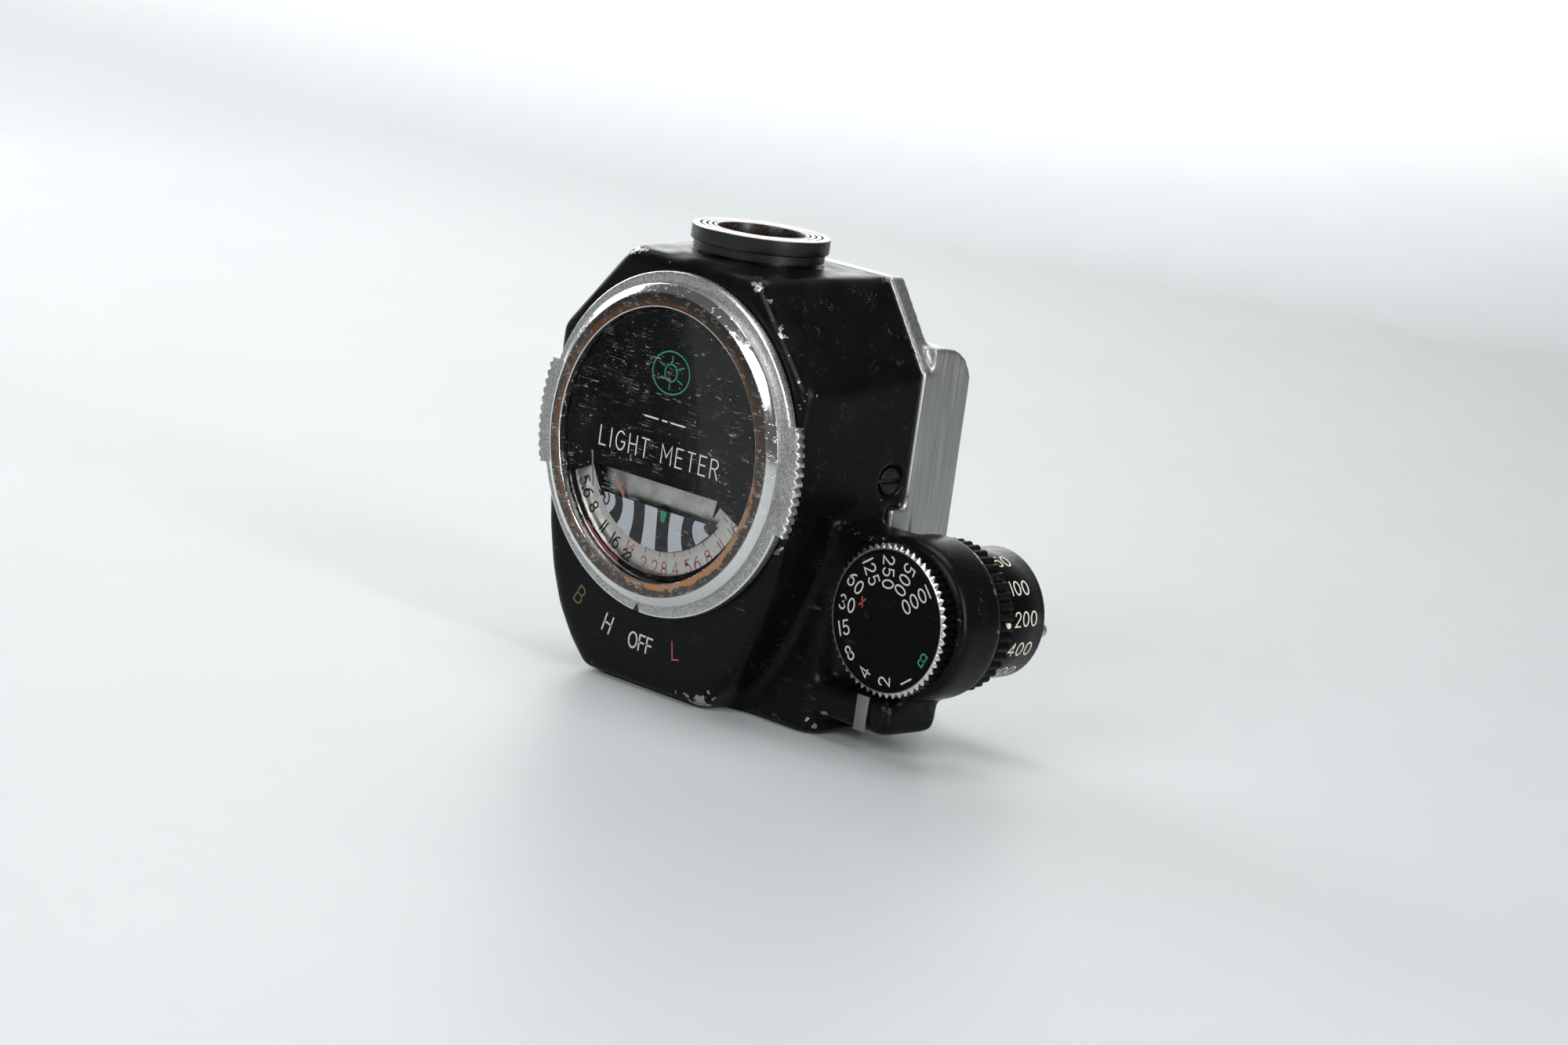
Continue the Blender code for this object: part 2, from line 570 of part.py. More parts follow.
# ---- meter movement -----------------------------------------------------------------------
def make_movement():
    """Frame, magnet, core, jewels, coil, needle and hairspring round the needle's axis."""
    dial, pivot = (0, 0, DIAL_Z), (0, 0, PIVOT_Z)
    frame = turned("movement_frame", [(15.2, -10.4), (16.25, -10.4), (16.25, -0.3), (0.5, -0.3),
                                      (0.5, -1.4), (15.2, -1.4)], 40, "black_plastic", dial)
    for degrees in (30, 150, 270):
        x, z = polar(12.5, degrees)
        join(frame, cylinder(f"pillar_shape_{degrees}", 1.3, -0.8, 2.35, "black_plastic",
                             (x, 0, DIAL_Z + z), steps=12))
    cut(frame, cylinder("rear_jewel_hole_shape", 1.35, -3, 1, "black_plastic", pivot,
                        steps=16))
    magnet = box("meter_magnet", (-8.4, -8.6, -12.2), (8.4, -3.6, -1.5), "magnet_steel", dial)
    cut(magnet, cylinder("magnet_bore_shape", 3.9, -10, -2, "magnet_steel", pivot, steps=24))
    core = cylinder("iron_core", 2.1, -8.2, -4.3, "steel", pivot, steps=20)
    join(core, box("core_tab_shape", (-0.45, -6.7, -3.9), (0.45, -5.8, -1.5), "steel", pivot))
    coil = box("moving_coil", (-3.3, -9.2, -0.7), (3.3, -3.4, 0.7), "copper_wire", pivot)
    cut(coil, box("coil_window_shape", (-2.6, -8.7, -2), (2.6, -3.9, 2), "copper_wire", pivot))
    join(coil, cylinder("front_staff_shape", 0.35, -12.0, -9.0, "steel", pivot, steps=10),
         cylinder("rear_staff_shape", 0.35, -3.6, -1.8, "steel", pivot, steps=10))
    coil.rotation_euler = (0, -math.radians(50.5), 0)
    make_needle(pivot)
    bridge = box("jewel_bridge", (-1.3, -12.15, -2.0), (1.3, -11.85, 1.2), "brass", pivot)
    join(bridge, box("bridge_foot_shape", (-1.3, -12.15, -2.0), (1.3, -11.1, -1.2), "brass",
                     pivot))
    cut(bridge, cylinder("bridge_hole_shape", 0.95, -13, -11, "brass", pivot, steps=16))
    turned("front_jewel", [(0.75, -12.2), (0.75, -11.7), (0.5, -11.7), (0.5, -12.05)], 16,
           "brass", pivot, hollow=False)
    turned("rear_jewel_screw", [(1.1, -0.35), (1.1, -2.3), (0.55, -2.3), (0.55, -1.5)], 16,
           "brass", pivot, hollow=False)
    make_hairspring(pivot)


def make_needle(pivot):
    """A thin pointer with a cranked arm, standing at the weak-light end of its sweep."""
    half = 0.16
    elbow, tip = Vector((-6.24, 1.6)), Vector((-8.6, 4.7))
    arm = Vector((elbow.y, -elbow.x)).normalized() * half
    point = Vector((tip - elbow).yx).normalized() * half
    point.y = -point.y
    outline = [tuple(-arm), tuple(elbow - (arm + point) / 2), tuple(tip - point * 0.5),
               tuple(tip + point * 0.5), tuple(elbow + (arm + point) / 2), tuple(arm)]
    needle = slab("needle", outline, -11.45, -11.25, "needle_red", pivot)
    hub = turned("needle_hub_shape", [(0.6, -11.5), (0.6, -11.2)], 16, "needle_red", pivot,
                 hollow=False)
    join(needle, hub)
    cut(needle, cylinder("needle_bore_shape", 0.45, -12, -11, "needle_red", pivot, steps=12))


def make_hairspring(pivot):
    """A flat spiral of two turns round the rear staff."""
    turns, steps, thickness = 2.0, 40, 0.12
    outline_out, outline_in = [], []
    for step in range(steps + 1):
        degrees = 360 * turns * step / steps
        radius = 0.9 + 1.5 * step / steps
        outline_out.append(polar(radius + thickness, degrees))
        outline_in.append(polar(radius, degrees))
    bm = bmesh.new()
    rows = []
    for outer, inner in zip(outline_out, outline_in):
        corners = ((outer, -3.0), (inner, -3.0), (inner, -2.6), (outer, -2.6))
        rows.append([bm.verts.new((u, y, v)) for (u, v), y in corners])
    for here, there in zip(rows, rows[1:]):
        for index in range(4):
            after = (index + 1) % 4
            bm.faces.new((here[index], here[after], there[after], there[index]))
    bm.faces.new(rows[0])
    bm.faces.new(rows[-1])
    finish("hairspring", bm, "brass", pivot)


# ---- electrics behind the movement --------------------------------------------------------
def make_electrics():
    outline = [(x, z) for x, z in inwards(housing_outline(True), 3.1)]
    plate = slab("chassis_plate", outline, 2.6, 3.4, "steel")
    cut(plate, box("plate_trim_shape", (-30, 2, 49.5), (30, 4, 60), "steel"),
        box("plate_idler_trim_shape", (15.5, 2, -1), (30, 4, 30), "steel"))
    box("range_board", (-13.0, 3.7, 34.0), (13.0, 4.5, 46.5), "brown_board")
    for word, z in (("low", 37.0), ("high", 41.0)):
        cylinder(f"resistor_{word}", 1.1, -9.5, -2.5, "resistor_tan", (0, 5.9, z), axis="X",
                 steps=16)
    trimmer = cylinder("trimmer", 3.2, 4.75, 7.4, "black_plastic", (6.5, 0, 40.0), steps=24)
    cut(trimmer, box("trimmer_slot_shape", (-2, 6.9, -0.3), (2, 8, 0.3), "black_plastic",
                     (6.5, 0, 40.0)))
    turned("battery_contact", [(0.6, 3.6), (5.2, 3.6), (5.2, 3.9), (0.6, 3.9)], 24, "brass",
           (0, 0, BATTERY_Z))
    turned("battery", [(5.5, 4.15), (5.5, 4.7), (BATTERY_R, 4.7), (BATTERY_R, 10.1)], 32,
           "steel", (0, 0, BATTERY_Z), hollow=False)
    cover = turned("battery_cover", [(BATTERY_R + 0.65, 10.4), (BATTERY_R + 0.65, 12.2),
                                     (BATTERY_R + 0.35, 12.45)], 40, "satin_aluminium",
                   (0, 0, BATTERY_Z), hollow=False)
    cut(cover, box("coin_slot_shape", (-6.2, 11.5, -0.65), (6.2, 14, 0.65), "satin_aluminium",
                   (0, 0, BATTERY_Z)))


# ---- shutter-speed dial, film-speed ring and gears ----------------------------------------
def make_speed_dial():
    axis = (KNOB_X, 0, KNOB_Z)
    teeth = 56

    def rim(degrees):
        part = abs((degrees * teeth / 360 + 0.5) % 1 - 0.5) * 2
        return 9.1 + 0.55 * (1 - part)

    turned("speed_dial", lambda degrees: [(2.15, -4.0), (8.95, -4.0), (8.95, KNOB_FRONT_Y),
                                          (rim(degrees), KNOB_FRONT_Y),
                                          (rim(degrees), KNOB_BACK_Y), (2.15, KNOB_BACK_Y)],
           teeth * 2, "black_enamel", axis)
    cylinder("speed_dial_plate", 8.7, KNOB_FRONT_Y, -4.2, "black_enamel", axis, steps=40)
    cylinder("dial_shaft", SHAFT_R, -3.9, DRUM_BACK_Y - 0.4, "steel", axis, steps=20)
    turned("shaft_bush", [(2.15, BARREL_FRONT_Y), (2.9, BARREL_FRONT_Y), (2.9, -0.2),
                          (2.15, -0.2)], 24, "brass", axis)
    drum = turned("coupling_drum", [(2.15, 9.0), (DRUM_R, 9.0), (DRUM_R, DRUM_BACK_Y - 0.3),
                                    (DRUM_R - 0.3, DRUM_BACK_Y), (2.15, DRUM_BACK_Y)], 56,
                  "black_enamel", axis)
    x, z = polar(6.6, -8)
    cut(drum, cylinder("pin_hole_shape", 1.15, 12.5, DRUM_BACK_Y + 1, "black_enamel",
                       (KNOB_X + x, 0, KNOB_Z + z), steps=16))
    pin = cylinder("coupling_pin", 0.9, 12.8, DRUM_BACK_Y + 1.7, "steel",
                   (KNOB_X + x, 0, KNOB_Z + z), steps=16)


def make_film_speed_ring():
    teeth = 44

    def rim(degrees):
        part = abs((degrees * teeth / 360 + 0.5) % 1 - 0.5) * 2
        return 9.7 - 0.45 * part

    turned("film_speed_ring", lambda degrees: [(3.7, 6.1), (rim(degrees), 6.1),
                                               (rim(degrees), 8.7), (3.7, 8.7)],
           teeth * 2, "black_enamel", (KNOB_X, 0, KNOB_Z))


def make_gear_train():
    idler = idler_centre()
    dial, knob = (0.0, DIAL_Z), (KNOB_X, KNOB_Z)
    scale_phase = 0.0
    idler_phase = meshed_phase(IDLER_TEETH, heading(idler, dial), SCALE_TEETH,
                               heading(dial, idler), scale_phase)
    drive_phase = meshed_phase(DRIVE_TEETH, heading(knob, idler), IDLER_TEETH,
                               heading(idler, knob), idler_phase)
    make_scale(scale_phase)
    low, high = GEAR_Y
    around_idler = gear_radius(IDLER_TEETH, idler_phase)
    turned("idler_gear", lambda degrees: [(1.25, low), (around_idler(degrees), low),
                                          (around_idler(degrees), high), (1.25, high)],
           gear_angles(IDLER_TEETH, idler_phase), "brass", (idler[0], 0, idler[1]))
    cylinder("idler_pin", 1.0, -1.5, 3.4, "steel", (idler[0], 0, idler[1]), steps=16)
    around_drive = gear_radius(DRIVE_TEETH, drive_phase)
    turned("drive_gear", lambda degrees: [(2.15, low), (around_drive(degrees), low),
                                          (around_drive(degrees), high), (3.4, high),
                                          (3.4, 8.5), (2.15, 8.5)],
           gear_angles(DRIVE_TEETH, drive_phase), "brass", (knob[0], 0, knob[1]))


def main():
    for thing in list(bpy.data.objects):
        bpy.data.objects.remove(thing, do_unlink=True)
    make_housing()
    make_base()
    make_fasteners()
    make_eyepiece_clip()
    make_index_strip()
    make_cell()
    make_bezel()
    make_dial_face()
    make_selector_ring()
    make_movement()
    make_electrics()
    make_speed_dial()
    make_film_speed_ring()
    make_gear_train()


main()
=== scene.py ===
"""The looks of the clip-on exposure meter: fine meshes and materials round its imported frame.

Lengths are millimetres in the frame of the part: +X towards the shutter-speed dial, -Y out
of the big dial, +Z towards the light cell. Angles are degrees, anticlockwise from +X for
someone who looks at the big dial.
"""
import json
import math

import bmesh
import bpy
import numpy as np
from mathutils import Matrix, Vector


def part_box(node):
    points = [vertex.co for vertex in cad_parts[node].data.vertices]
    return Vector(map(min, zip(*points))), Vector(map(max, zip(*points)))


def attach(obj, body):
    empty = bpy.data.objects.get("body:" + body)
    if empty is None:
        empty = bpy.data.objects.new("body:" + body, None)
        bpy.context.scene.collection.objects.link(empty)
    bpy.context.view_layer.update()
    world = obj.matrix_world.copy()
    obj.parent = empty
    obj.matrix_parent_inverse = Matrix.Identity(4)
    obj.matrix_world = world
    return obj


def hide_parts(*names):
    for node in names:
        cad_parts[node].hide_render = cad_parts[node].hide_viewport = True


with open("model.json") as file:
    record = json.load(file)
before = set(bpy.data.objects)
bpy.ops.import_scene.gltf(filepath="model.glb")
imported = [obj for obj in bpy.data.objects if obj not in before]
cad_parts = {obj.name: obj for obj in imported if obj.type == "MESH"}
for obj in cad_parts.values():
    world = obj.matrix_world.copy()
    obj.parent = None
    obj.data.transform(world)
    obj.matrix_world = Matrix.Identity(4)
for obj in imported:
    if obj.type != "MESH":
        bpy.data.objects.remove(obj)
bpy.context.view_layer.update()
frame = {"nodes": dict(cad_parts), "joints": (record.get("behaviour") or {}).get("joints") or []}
MM = 0.001


def joint_spot(name):
    """The point on a joint's axis that the record gives."""
    found = next(joint for joint in frame["joints"] if joint["name"] == name)
    return Vector(found["pos_m"]) / MM


def node_box(name):
    """A CAD node's lowest and highest corners."""
    low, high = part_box(name)
    return low / MM, high / MM


DIAL = joint_spot("selector_turn")
KNOB = joint_spot("speed_turn")
DIAL_AXIS = Vector((DIAL.x, 0, DIAL.z))
KNOB_AXIS = Vector((KNOB.x, 0, KNOB.z))
DIAL_CENTRE = (DIAL.x, DIAL.z)
KNOB_CENTRE = (KNOB.x, KNOB.z)

# Where flat faces lie along Y.
HOUSING_FRONT = -11.0
BEZEL_BACK = -9.8
RING_FRONT = -12.5
MASK_FRONT, MASK_BACK = -12.95, -12.65
STRIPES_FRONT, STRIPES_BACK = -12.27, -12.15
SCALE_FRONT = -12.1
SPEED_PLATE_FRONT = -4.44

# Radii on the big dial and on the barrel.
STRIPES_RADIUS = 13.6
RING_RADIUS = 22.0
DRUM_RADIUS = 8.35
FILM_RING_RADIUS = 9.25

# The photographer's place, the way the camera is turned in degrees, and its lens.
CAMERA_PLACE = Vector((372.14, -395.21, 125.95))
CAMERA_AZIMUTH, CAMERA_ELEVATION, CAMERA_ROLL = 42.44, 10.79, 7.96
FOCAL_LENGTH, FILM_WIDTH = 98.4, 36.0


# ---- camera and light ---------------------------------------------------------------------
def set_camera():
    """The viewing angle: a long lens from the front right, a little above, rolled slightly."""
    azimuth, elevation, roll = (math.radians(a) for a in (
        CAMERA_AZIMUTH, CAMERA_ELEVATION, CAMERA_ROLL))
    back = Vector((math.sin(azimuth) * math.cos(elevation),
                   -math.cos(azimuth) * math.cos(elevation), math.sin(elevation)))
    level = Vector((math.cos(azimuth), math.sin(azimuth), 0))
    above = back.cross(level)
    right = level * math.cos(roll) + above * math.sin(roll)
    up = above * math.cos(roll) - level * math.sin(roll)
    lens = bpy.data.cameras.new("camera")
    lens.lens, lens.sensor_width = FOCAL_LENGTH, FILM_WIDTH
    lens.clip_start, lens.clip_end = 0.01, 20
    camera = bpy.data.objects.new("camera", lens)
    turn = Matrix((right, up, back)).transposed().to_4x4()
    camera.matrix_world = Matrix.Translation(CAMERA_PLACE * MM) @ turn
    bpy.context.scene.collection.objects.link(camera)
    bpy.context.scene.camera = camera


def area_light(name, place, aim, size, power):
    """A rectangular lamp at a place, turned to an aim."""
    lamp = bpy.data.lights.new(name, "AREA")
    lamp.shape, lamp.size, lamp.size_y = "RECTANGLE", size[0] * MM, size[1] * MM
    lamp.energy = power
    holder = bpy.data.objects.new(name, lamp)
    start, end = Vector(place) * MM, Vector(aim) * MM
    holder.location = start
    holder.rotation_euler = (end - start).to_track_quat("-Z", "Y").to_euler()
    bpy.context.scene.collection.objects.link(holder)


def set_lights():
    """Soft boxes round the meter, one more for the backdrop, and a faint even sky."""
    aim = (5, 0, 28)
    area_light("top_softbox", (-40, 60, 640), aim, (420, 300), 1.9)
    area_light("front_softbox", (60, -620, 400), aim, (420, 240), 2.6)
    area_light("left_softbox", (-640, 40, 330), aim, (260, 420), 2.6)
    area_light("right_strip", (560, -60, 230), aim, (90, 420), 2.0)
    area_light("back_softbox", (-520, 420, 420), (-700, 900, 300), (600, 400), 4.5)
    world = bpy.data.worlds.new("studio")
    world.use_nodes = True
    shade = world.node_tree.nodes["Background"]
    shade.inputs["Color"].default_value = (0.93, 0.95, 0.96, 1)
    shade.inputs["Strength"].default_value = 0.13
    scene = bpy.context.scene
    scene.world = world
    scene.view_settings.view_transform = "Standard"


# ---- material nodes -----------------------------------------------------------------------
class Paint:
    """A material under construction; noise scales are in features per millimetre."""

    def __init__(self, name, colour, roughness, metallic=0.0, **sockets):
        self.material = bpy.data.materials.new(name)
        self.material.use_nodes = True
        self.tree = self.material.node_tree
        self.shader = self.tree.nodes["Principled BSDF"]
        self.set("Base Color", (*colour, 1))
        self.set("Roughness", roughness)
        self.set("Metallic", metallic)
        for socket, value in sockets.items():
            self.set(socket.replace("_", " "), value)
        coordinates = self.tree.nodes.new("ShaderNodeTexCoord")
        self.place = coordinates.outputs["Object"]

    def feed(self, target, value):
        """Links a socket to an input, or writes a constant into it."""
        if isinstance(value, bpy.types.NodeSocket):
            self.tree.links.new(value, target)
        else:
            target.default_value = value

    def set(self, socket, value):
        self.feed(self.shader.inputs[socket], value)

    def node(self, kind, settings=(), **inputs):
        """A new node. An input is given by its name, or as _ and its number."""
        made = self.tree.nodes.new("ShaderNode" + kind)
        for key, value in dict(settings).items():
            setattr(made, key, value)
        for key, value in inputs.items():
            self.feed(made.inputs[int(key[1:]) if key[1:].isdigit() else key], value)
        return made

    def axes(self):
        """The point's three coordinates, in metres."""
        return tuple(self.node("SeparateXYZ", Vector=self.place).outputs)

    def millimetres(self, length):
        return self.times(length, 1 / MM)

    def radius(self, first, second):
        """The distance in millimetres from the axis that two coordinates are counted from."""
        square = self.plus(self.times(first, first), self.times(second, second))
        return self.millimetres(self.compute("SQRT", square))

    def edge(self):
        """How convex the surface is, as mark_edges stored it."""
        return self.node("Attribute", {"attribute_name": "edge"}).outputs["Fac"]

    def spread(self, scale, stretch=(1, 1, 1), turn=(0, 0, 0)):
        """Coordinates in millimetres times a scale, squeezed along chosen axes."""
        size = tuple(scale * s / MM for s in stretch)
        turned = tuple(math.radians(a) for a in turn)
        return self.node("Mapping", Vector=self.place, Rotation=turned, Scale=size).outputs[0]

    def noise(self, scale, stretch=(1, 1, 1), turn=(0, 0, 0), detail=3.0, rough=0.55):
        made = self.node("TexNoise", Vector=self.spread(scale, stretch, turn), Scale=1.0,
                         Detail=detail, Roughness=rough)
        return made.outputs["Fac"]

    def band(self, value, low, high, start=0.0, end=1.0):
        """A value mapped smoothly from one range to another, and held at its ends."""
        made = self.node("MapRange", {"interpolation_type": "SMOOTHSTEP"}, Value=value)
        for key, number in zip(("From Min", "From Max", "To Min", "To Max"),
                               (low, high, start, end)):
            made.inputs[key].default_value = number
        return made.outputs[0]

    def compute(self, operation, first, second=0.0):
        """A Math node of one or two values."""
        return self.node("Math", {"operation": operation}, _0=first, _1=second).outputs[0]

    def times(self, first, second):
        return self.compute("MULTIPLY", first, second)

    def plus(self, first, second):
        return self.compute("ADD", first, second)

    def minus(self, first, second):
        return self.compute("SUBTRACT", first, second)

    def larger(self, first, second):
        return self.compute("MAXIMUM", first, second)

    def blend(self, share, first, second):
        """A colour between two, each a socket or three numbers."""
        ends = [end if isinstance(end, bpy.types.NodeSocket) else (*end, 1)
                for end in (first, second)]
        made = self.node("Mix", {"data_type": "RGBA"}, _0=share, _6=ends[0], _7=ends[1])
        return made.outputs[2]

    def specks(self, scale, size, share):
        """Scattered dots: 1 inside a dot. share is how many cells hold one."""
        cells = self.node("TexVoronoi", Vector=self.spread(scale), Scale=1.0)
        near = self.band(cells.outputs["Distance"], size * 0.6, size, 1, 0)
        chosen = self.band(self.node("SeparateColor", Color=cells.outputs["Color"]).outputs[0],
                           1 - share - 0.01, 1 - share)
        return self.times(near, chosen)

    def streaks(self, scale, turn, width=0.02, length=0.02):
        """Fine straight scratches that run along the turned X axis."""
        field = self.noise(scale, (length, 1, 1), turn, detail=1.0, rough=0.3)
        offset = self.compute("ABSOLUTE", self.minus(field, 0.5))
        line = self.band(offset, width * 0.3, width, 1, 0)
        gate = self.band(self.noise(scale * 0.3, turn=turn), 0.56, 0.64)
        return self.times(line, gate)

    def near(self, centre, reach):
        """1 at a point of the part, falling to 0 at a distance from it."""
        spot = tuple(number * MM for number in centre)
        away = self.node("VectorMath", {"operation": "DISTANCE"}, _0=self.place, _1=spot)
        return self.band(away.outputs["Value"], 0.0, reach * MM, 1.0, 0.0)

    def bump(self, height, distance, strength):
        """Adds relief of a distance in millimetres to the relief that is there already."""
        made = self.node("Bump", Height=height, Distance=distance * MM, Strength=strength)
        previous = self.shader.inputs["Normal"]
        if previous.is_linked:
            self.tree.links.new(previous.links[0].from_socket, made.inputs["Normal"])
        self.set("Normal", made.outputs[0])


def enamel(name, roughness=0.3, wear=True, dust=0.25, knocks=(), gloss=0.12):
    """Semi-gloss black enamel with dust, faint scratches and bright metal at worn edges."""
    colour = (0.0022, 0.0022, 0.0024)
    paint = Paint(name, colour, roughness, Specular_IOR_Level=gloss)
    cloud = paint.noise(0.25, detail=5)
    grain = paint.noise(9, detail=2)
    specks = paint.specks(1.1, 0.07, dust)
    marks = paint.streaks(1.2, (20, 35, 50))
    shade = paint.blend(cloud, colour, tuple(c * 1.6 for c in colour))
    shade = paint.blend(paint.times(specks, 0.4), shade, (0.22, 0.21, 0.20))
    shade = paint.blend(paint.times(marks, 0.10 if wear else 0.03), shade, (0.35, 0.34, 0.33))
    rough = paint.plus(paint.band(cloud, 0.3, 0.7, roughness - 0.06, roughness + 0.1),
                       paint.times(grain, 0.06))
    if wear:
        chips = paint.plus(paint.compute("MINIMUM", paint.edge(), 0.5),
                           paint.band(paint.noise(0.9, detail=6), 0.3, 0.7, -0.62, 0.12))
        spots = paint.band(paint.noise(0.16, detail=2), 0.5, 0.68, -0.1, 0.14)
        for x, y, z, reach in knocks:
            dent = paint.times(paint.near((x, y, z), reach), 0.38)
            spots = paint.larger(spots, dent)
        bare = paint.band(paint.plus(chips, spots), 0.60, 0.66)
        shade = paint.blend(bare, shade, paint.blend(grain, (0.34, 0.32, 0.30),
                                                     (0.56, 0.54, 0.51)))
        paint.set("Metallic", bare)
        paint.bump(paint.minus(1.0, bare), 0.04, 0.6)
    paint.set("Base Color", shade)
    paint.set("Roughness", rough)
    if wear:
        paint.bump(grain, 0.006, 0.5)
        paint.bump(paint.noise(1.6, detail=2), 0.02, 0.25)
    else:
        paint.bump(paint.noise(1.1, detail=2), 0.01, 0.15)
    return paint.material


def brushed(name, colour, along=(1, 1, 0.015), roughness=0.36):
    """Satin metal brushed along one axis, with smudges."""
    paint = Paint(name, colour, roughness, 1.0)
    lines = paint.noise(5, along, detail=4)
    smudge = paint.noise(0.12, detail=4)
    shade = paint.blend(paint.band(lines, 0.3, 0.7), tuple(c * 0.72 for c in colour),
                        tuple(c * 1.15 for c in colour))
    paint.set("Base Color", paint.blend(paint.band(smudge, 0.5, 0.75, 0, 0.35), shade,
                                        tuple(c * 0.6 for c in colour)))
    paint.set("Roughness", paint.plus(paint.band(lines, 0.3, 0.7, -0.07, 0.08),
                                      paint.band(smudge, 0.3, 0.7, roughness - 0.05,
                                                 roughness + 0.08)))
    paint.bump(lines, 0.012, 0.5)
    return paint.material


def worn_chrome(name):
    """The bezel: chrome scratched dark and rubbed through to copper near its inner edge, with a
    painted highlight on the copper towards the lower right.
    """
    paint = Paint(name, (0.7, 0.7, 0.69), 0.12, 1.0)
    x, _, z = paint.axes()
    radius = paint.radius(x, z)
    angle = paint.compute("ARCTAN2", z, x)
    patch = paint.noise(0.35, detail=7, rough=0.65)
    fine = paint.noise(2.4, detail=5, rough=0.6)
    marks = paint.larger(paint.streaks(3.4, (0, 25, 0), 0.07, 0.10),
                         paint.streaks(2.8, (0, 70, 0), 0.07, 0.10))
    flat = paint.times(paint.band(radius, 19.4, 19.15), paint.band(radius, 17.58, 17.7))
    dull = paint.times(flat, paint.band(paint.plus(patch, fine), 0.62, 0.9))
    # Lower right of the flat band, where the copper gets a painted highlight.
    lit_lower_right = paint.band(paint.compute("COSINE", paint.plus(angle, math.radians(52))),
                           0.45, 0.95)
    left = paint.band(paint.compute("COSINE", paint.minus(angle, math.radians(150))), 0.0, 0.9)
    inner = paint.band(radius, 18.75, 17.9)
    rubbed = paint.plus(paint.times(inner, 0.38), paint.times(left, 0.20))
    copper = paint.plus(paint.plus(rubbed, patch), paint.times(fine, 0.3))
    copper = paint.times(paint.band(copper, 0.95, 1.10), flat)
    # Brighter copper at twice the copper colour: partly worn patches and the inner edge, partly a
    # painted highlight towards the lower right.
    bright = paint.plus(paint.times(lit_lower_right, 0.42),
                        paint.plus(paint.times(patch, 1.3), paint.times(inner, 0.32)))
    bright = paint.times(paint.band(bright, 1.16, 1.28), flat)
    shade = paint.blend(flat, (0.74, 0.74, 0.73), (0.34, 0.32, 0.30))
    shade = paint.blend(paint.times(dull, 0.9), shade, (0.085, 0.07, 0.06))
    shade = paint.blend(paint.times(copper, 0.85), shade, (0.26, 0.125, 0.065))
    shade = paint.blend(bright, shade, (0.52, 0.26, 0.13))
    shade = paint.blend(paint.times(marks, flat), shade, (0.42, 0.41, 0.42))
    paint.set("Base Color", shade)
    paint.set("Roughness", paint.plus(paint.band(fine, 0.3, 0.7, 0.07, 0.16),
                                      paint.times(paint.larger(dull, copper), 0.2)))
    paint.bump(paint.plus(marks, paint.times(copper, 0.2)), -0.02, 0.6)
    paint.bump(fine, 0.01, 0.4)
    return paint.material


def blasted_chrome(name):
    """The selector ring: fine grained matt chrome, polished at its rim, with grime."""
    paint = Paint(name, (0.6, 0.6, 0.59), 0.4, 1.0)
    grain = paint.noise(5.0, detail=4, rough=0.8)
    grime = paint.noise(0.5, detail=6)
    polished = paint.band(paint.edge(), 0.35, 0.7)
    shade = paint.blend(paint.band(grain, 0.35, 0.65), (0.26, 0.26, 0.255), (0.70, 0.70, 0.69))
    shade = paint.blend(paint.band(grime, 0.52, 0.8, 0, 0.5), shade, (0.30, 0.26, 0.20))
    paint.set("Base Color", paint.blend(polished, shade, (0.82, 0.82, 0.81)))
    paint.set("Roughness", paint.minus(paint.band(grain, 0.3, 0.7, 0.36, 0.5),
                                       paint.times(polished, 0.24)))
    paint.bump(grain, 0.05, 0.55)
    return paint.material


def toothed_rim(name):
    """The speed dial's rim: black, with bare bright metal on the front of its teeth."""
    paint = Paint(name, (0.0022, 0.0022, 0.0024), 0.3, Specular_IOR_Level=0.2)
    x, y, z = paint.axes()
    radius = paint.radius(x, z)
    depth = paint.millimetres(y)
    grit = paint.noise(1.6, detail=5)
    front = paint.plus(depth, paint.band(grit, 0.3, 0.7, -0.1, 0.1))
    bare = paint.times(paint.band(radius, 8.92, 9.0), paint.band(front, -4.02, -4.12))
    black = paint.blend(paint.specks(2, 0.1, 0.3), (0.003, 0.003, 0.003), (0.12, 0.11, 0.10))
    metal = paint.blend(grit, (0.55, 0.55, 0.54), (0.85, 0.85, 0.84))
    paint.set("Base Color", paint.blend(bare, black, metal))
    paint.set("Metallic", bare)
    paint.set("Roughness", paint.band(grit, 0.3, 0.7, 0.2, 0.38))
    paint.bump(grit, 0.01, 0.4)
    return paint.material


def anodised(name):
    """The cell ring: black sides, bare bright top with three dark grooves, dusty."""
    paint = Paint(name, (0.012, 0.012, 0.013), 0.34, Specular_IOR_Level=0.4)
    x, y, z = paint.axes()
    height = paint.millimetres(z)
    radius = paint.radius(x, y)
    top = node_box("cell_window_ring")[1].z
    grit = paint.noise(3.0, detail=6)
    bare = paint.times(paint.band(height, top - 0.16, top - 0.08), paint.band(radius, 5.85, 5.95))
    rings = paint.noise(9, (1, 1, 0.2), detail=2)
    metal = paint.blend(rings, (0.42, 0.42, 0.42), (0.60, 0.60, 0.59))
    metal = paint.blend(paint.band(grit, 0.56, 0.75, 0, 0.7), metal, (0.16, 0.12, 0.09))
    inside = paint.times(paint.band(radius, 5.9, 5.66), paint.band(height, top - 1.6, top - 0.2))
    dusty = paint.specks(2.2, 0.12, 0.3)
    side = paint.blend(paint.times(dusty, 0.6), (0.004, 0.004, 0.0045), (0.16, 0.15, 0.13))
    side = paint.blend(paint.times(inside, paint.band(grit, 0.35, 0.65)), side,
                       (0.05, 0.03, 0.018))
    paint.set("Base Color", paint.blend(bare, side, metal))
    paint.set("Metallic", bare)
    paint.set("Roughness", paint.band(grit, 0.3, 0.7, 0.25, 0.45))
    paint.bump(grit, 0.01, 0.4)
    return paint.material


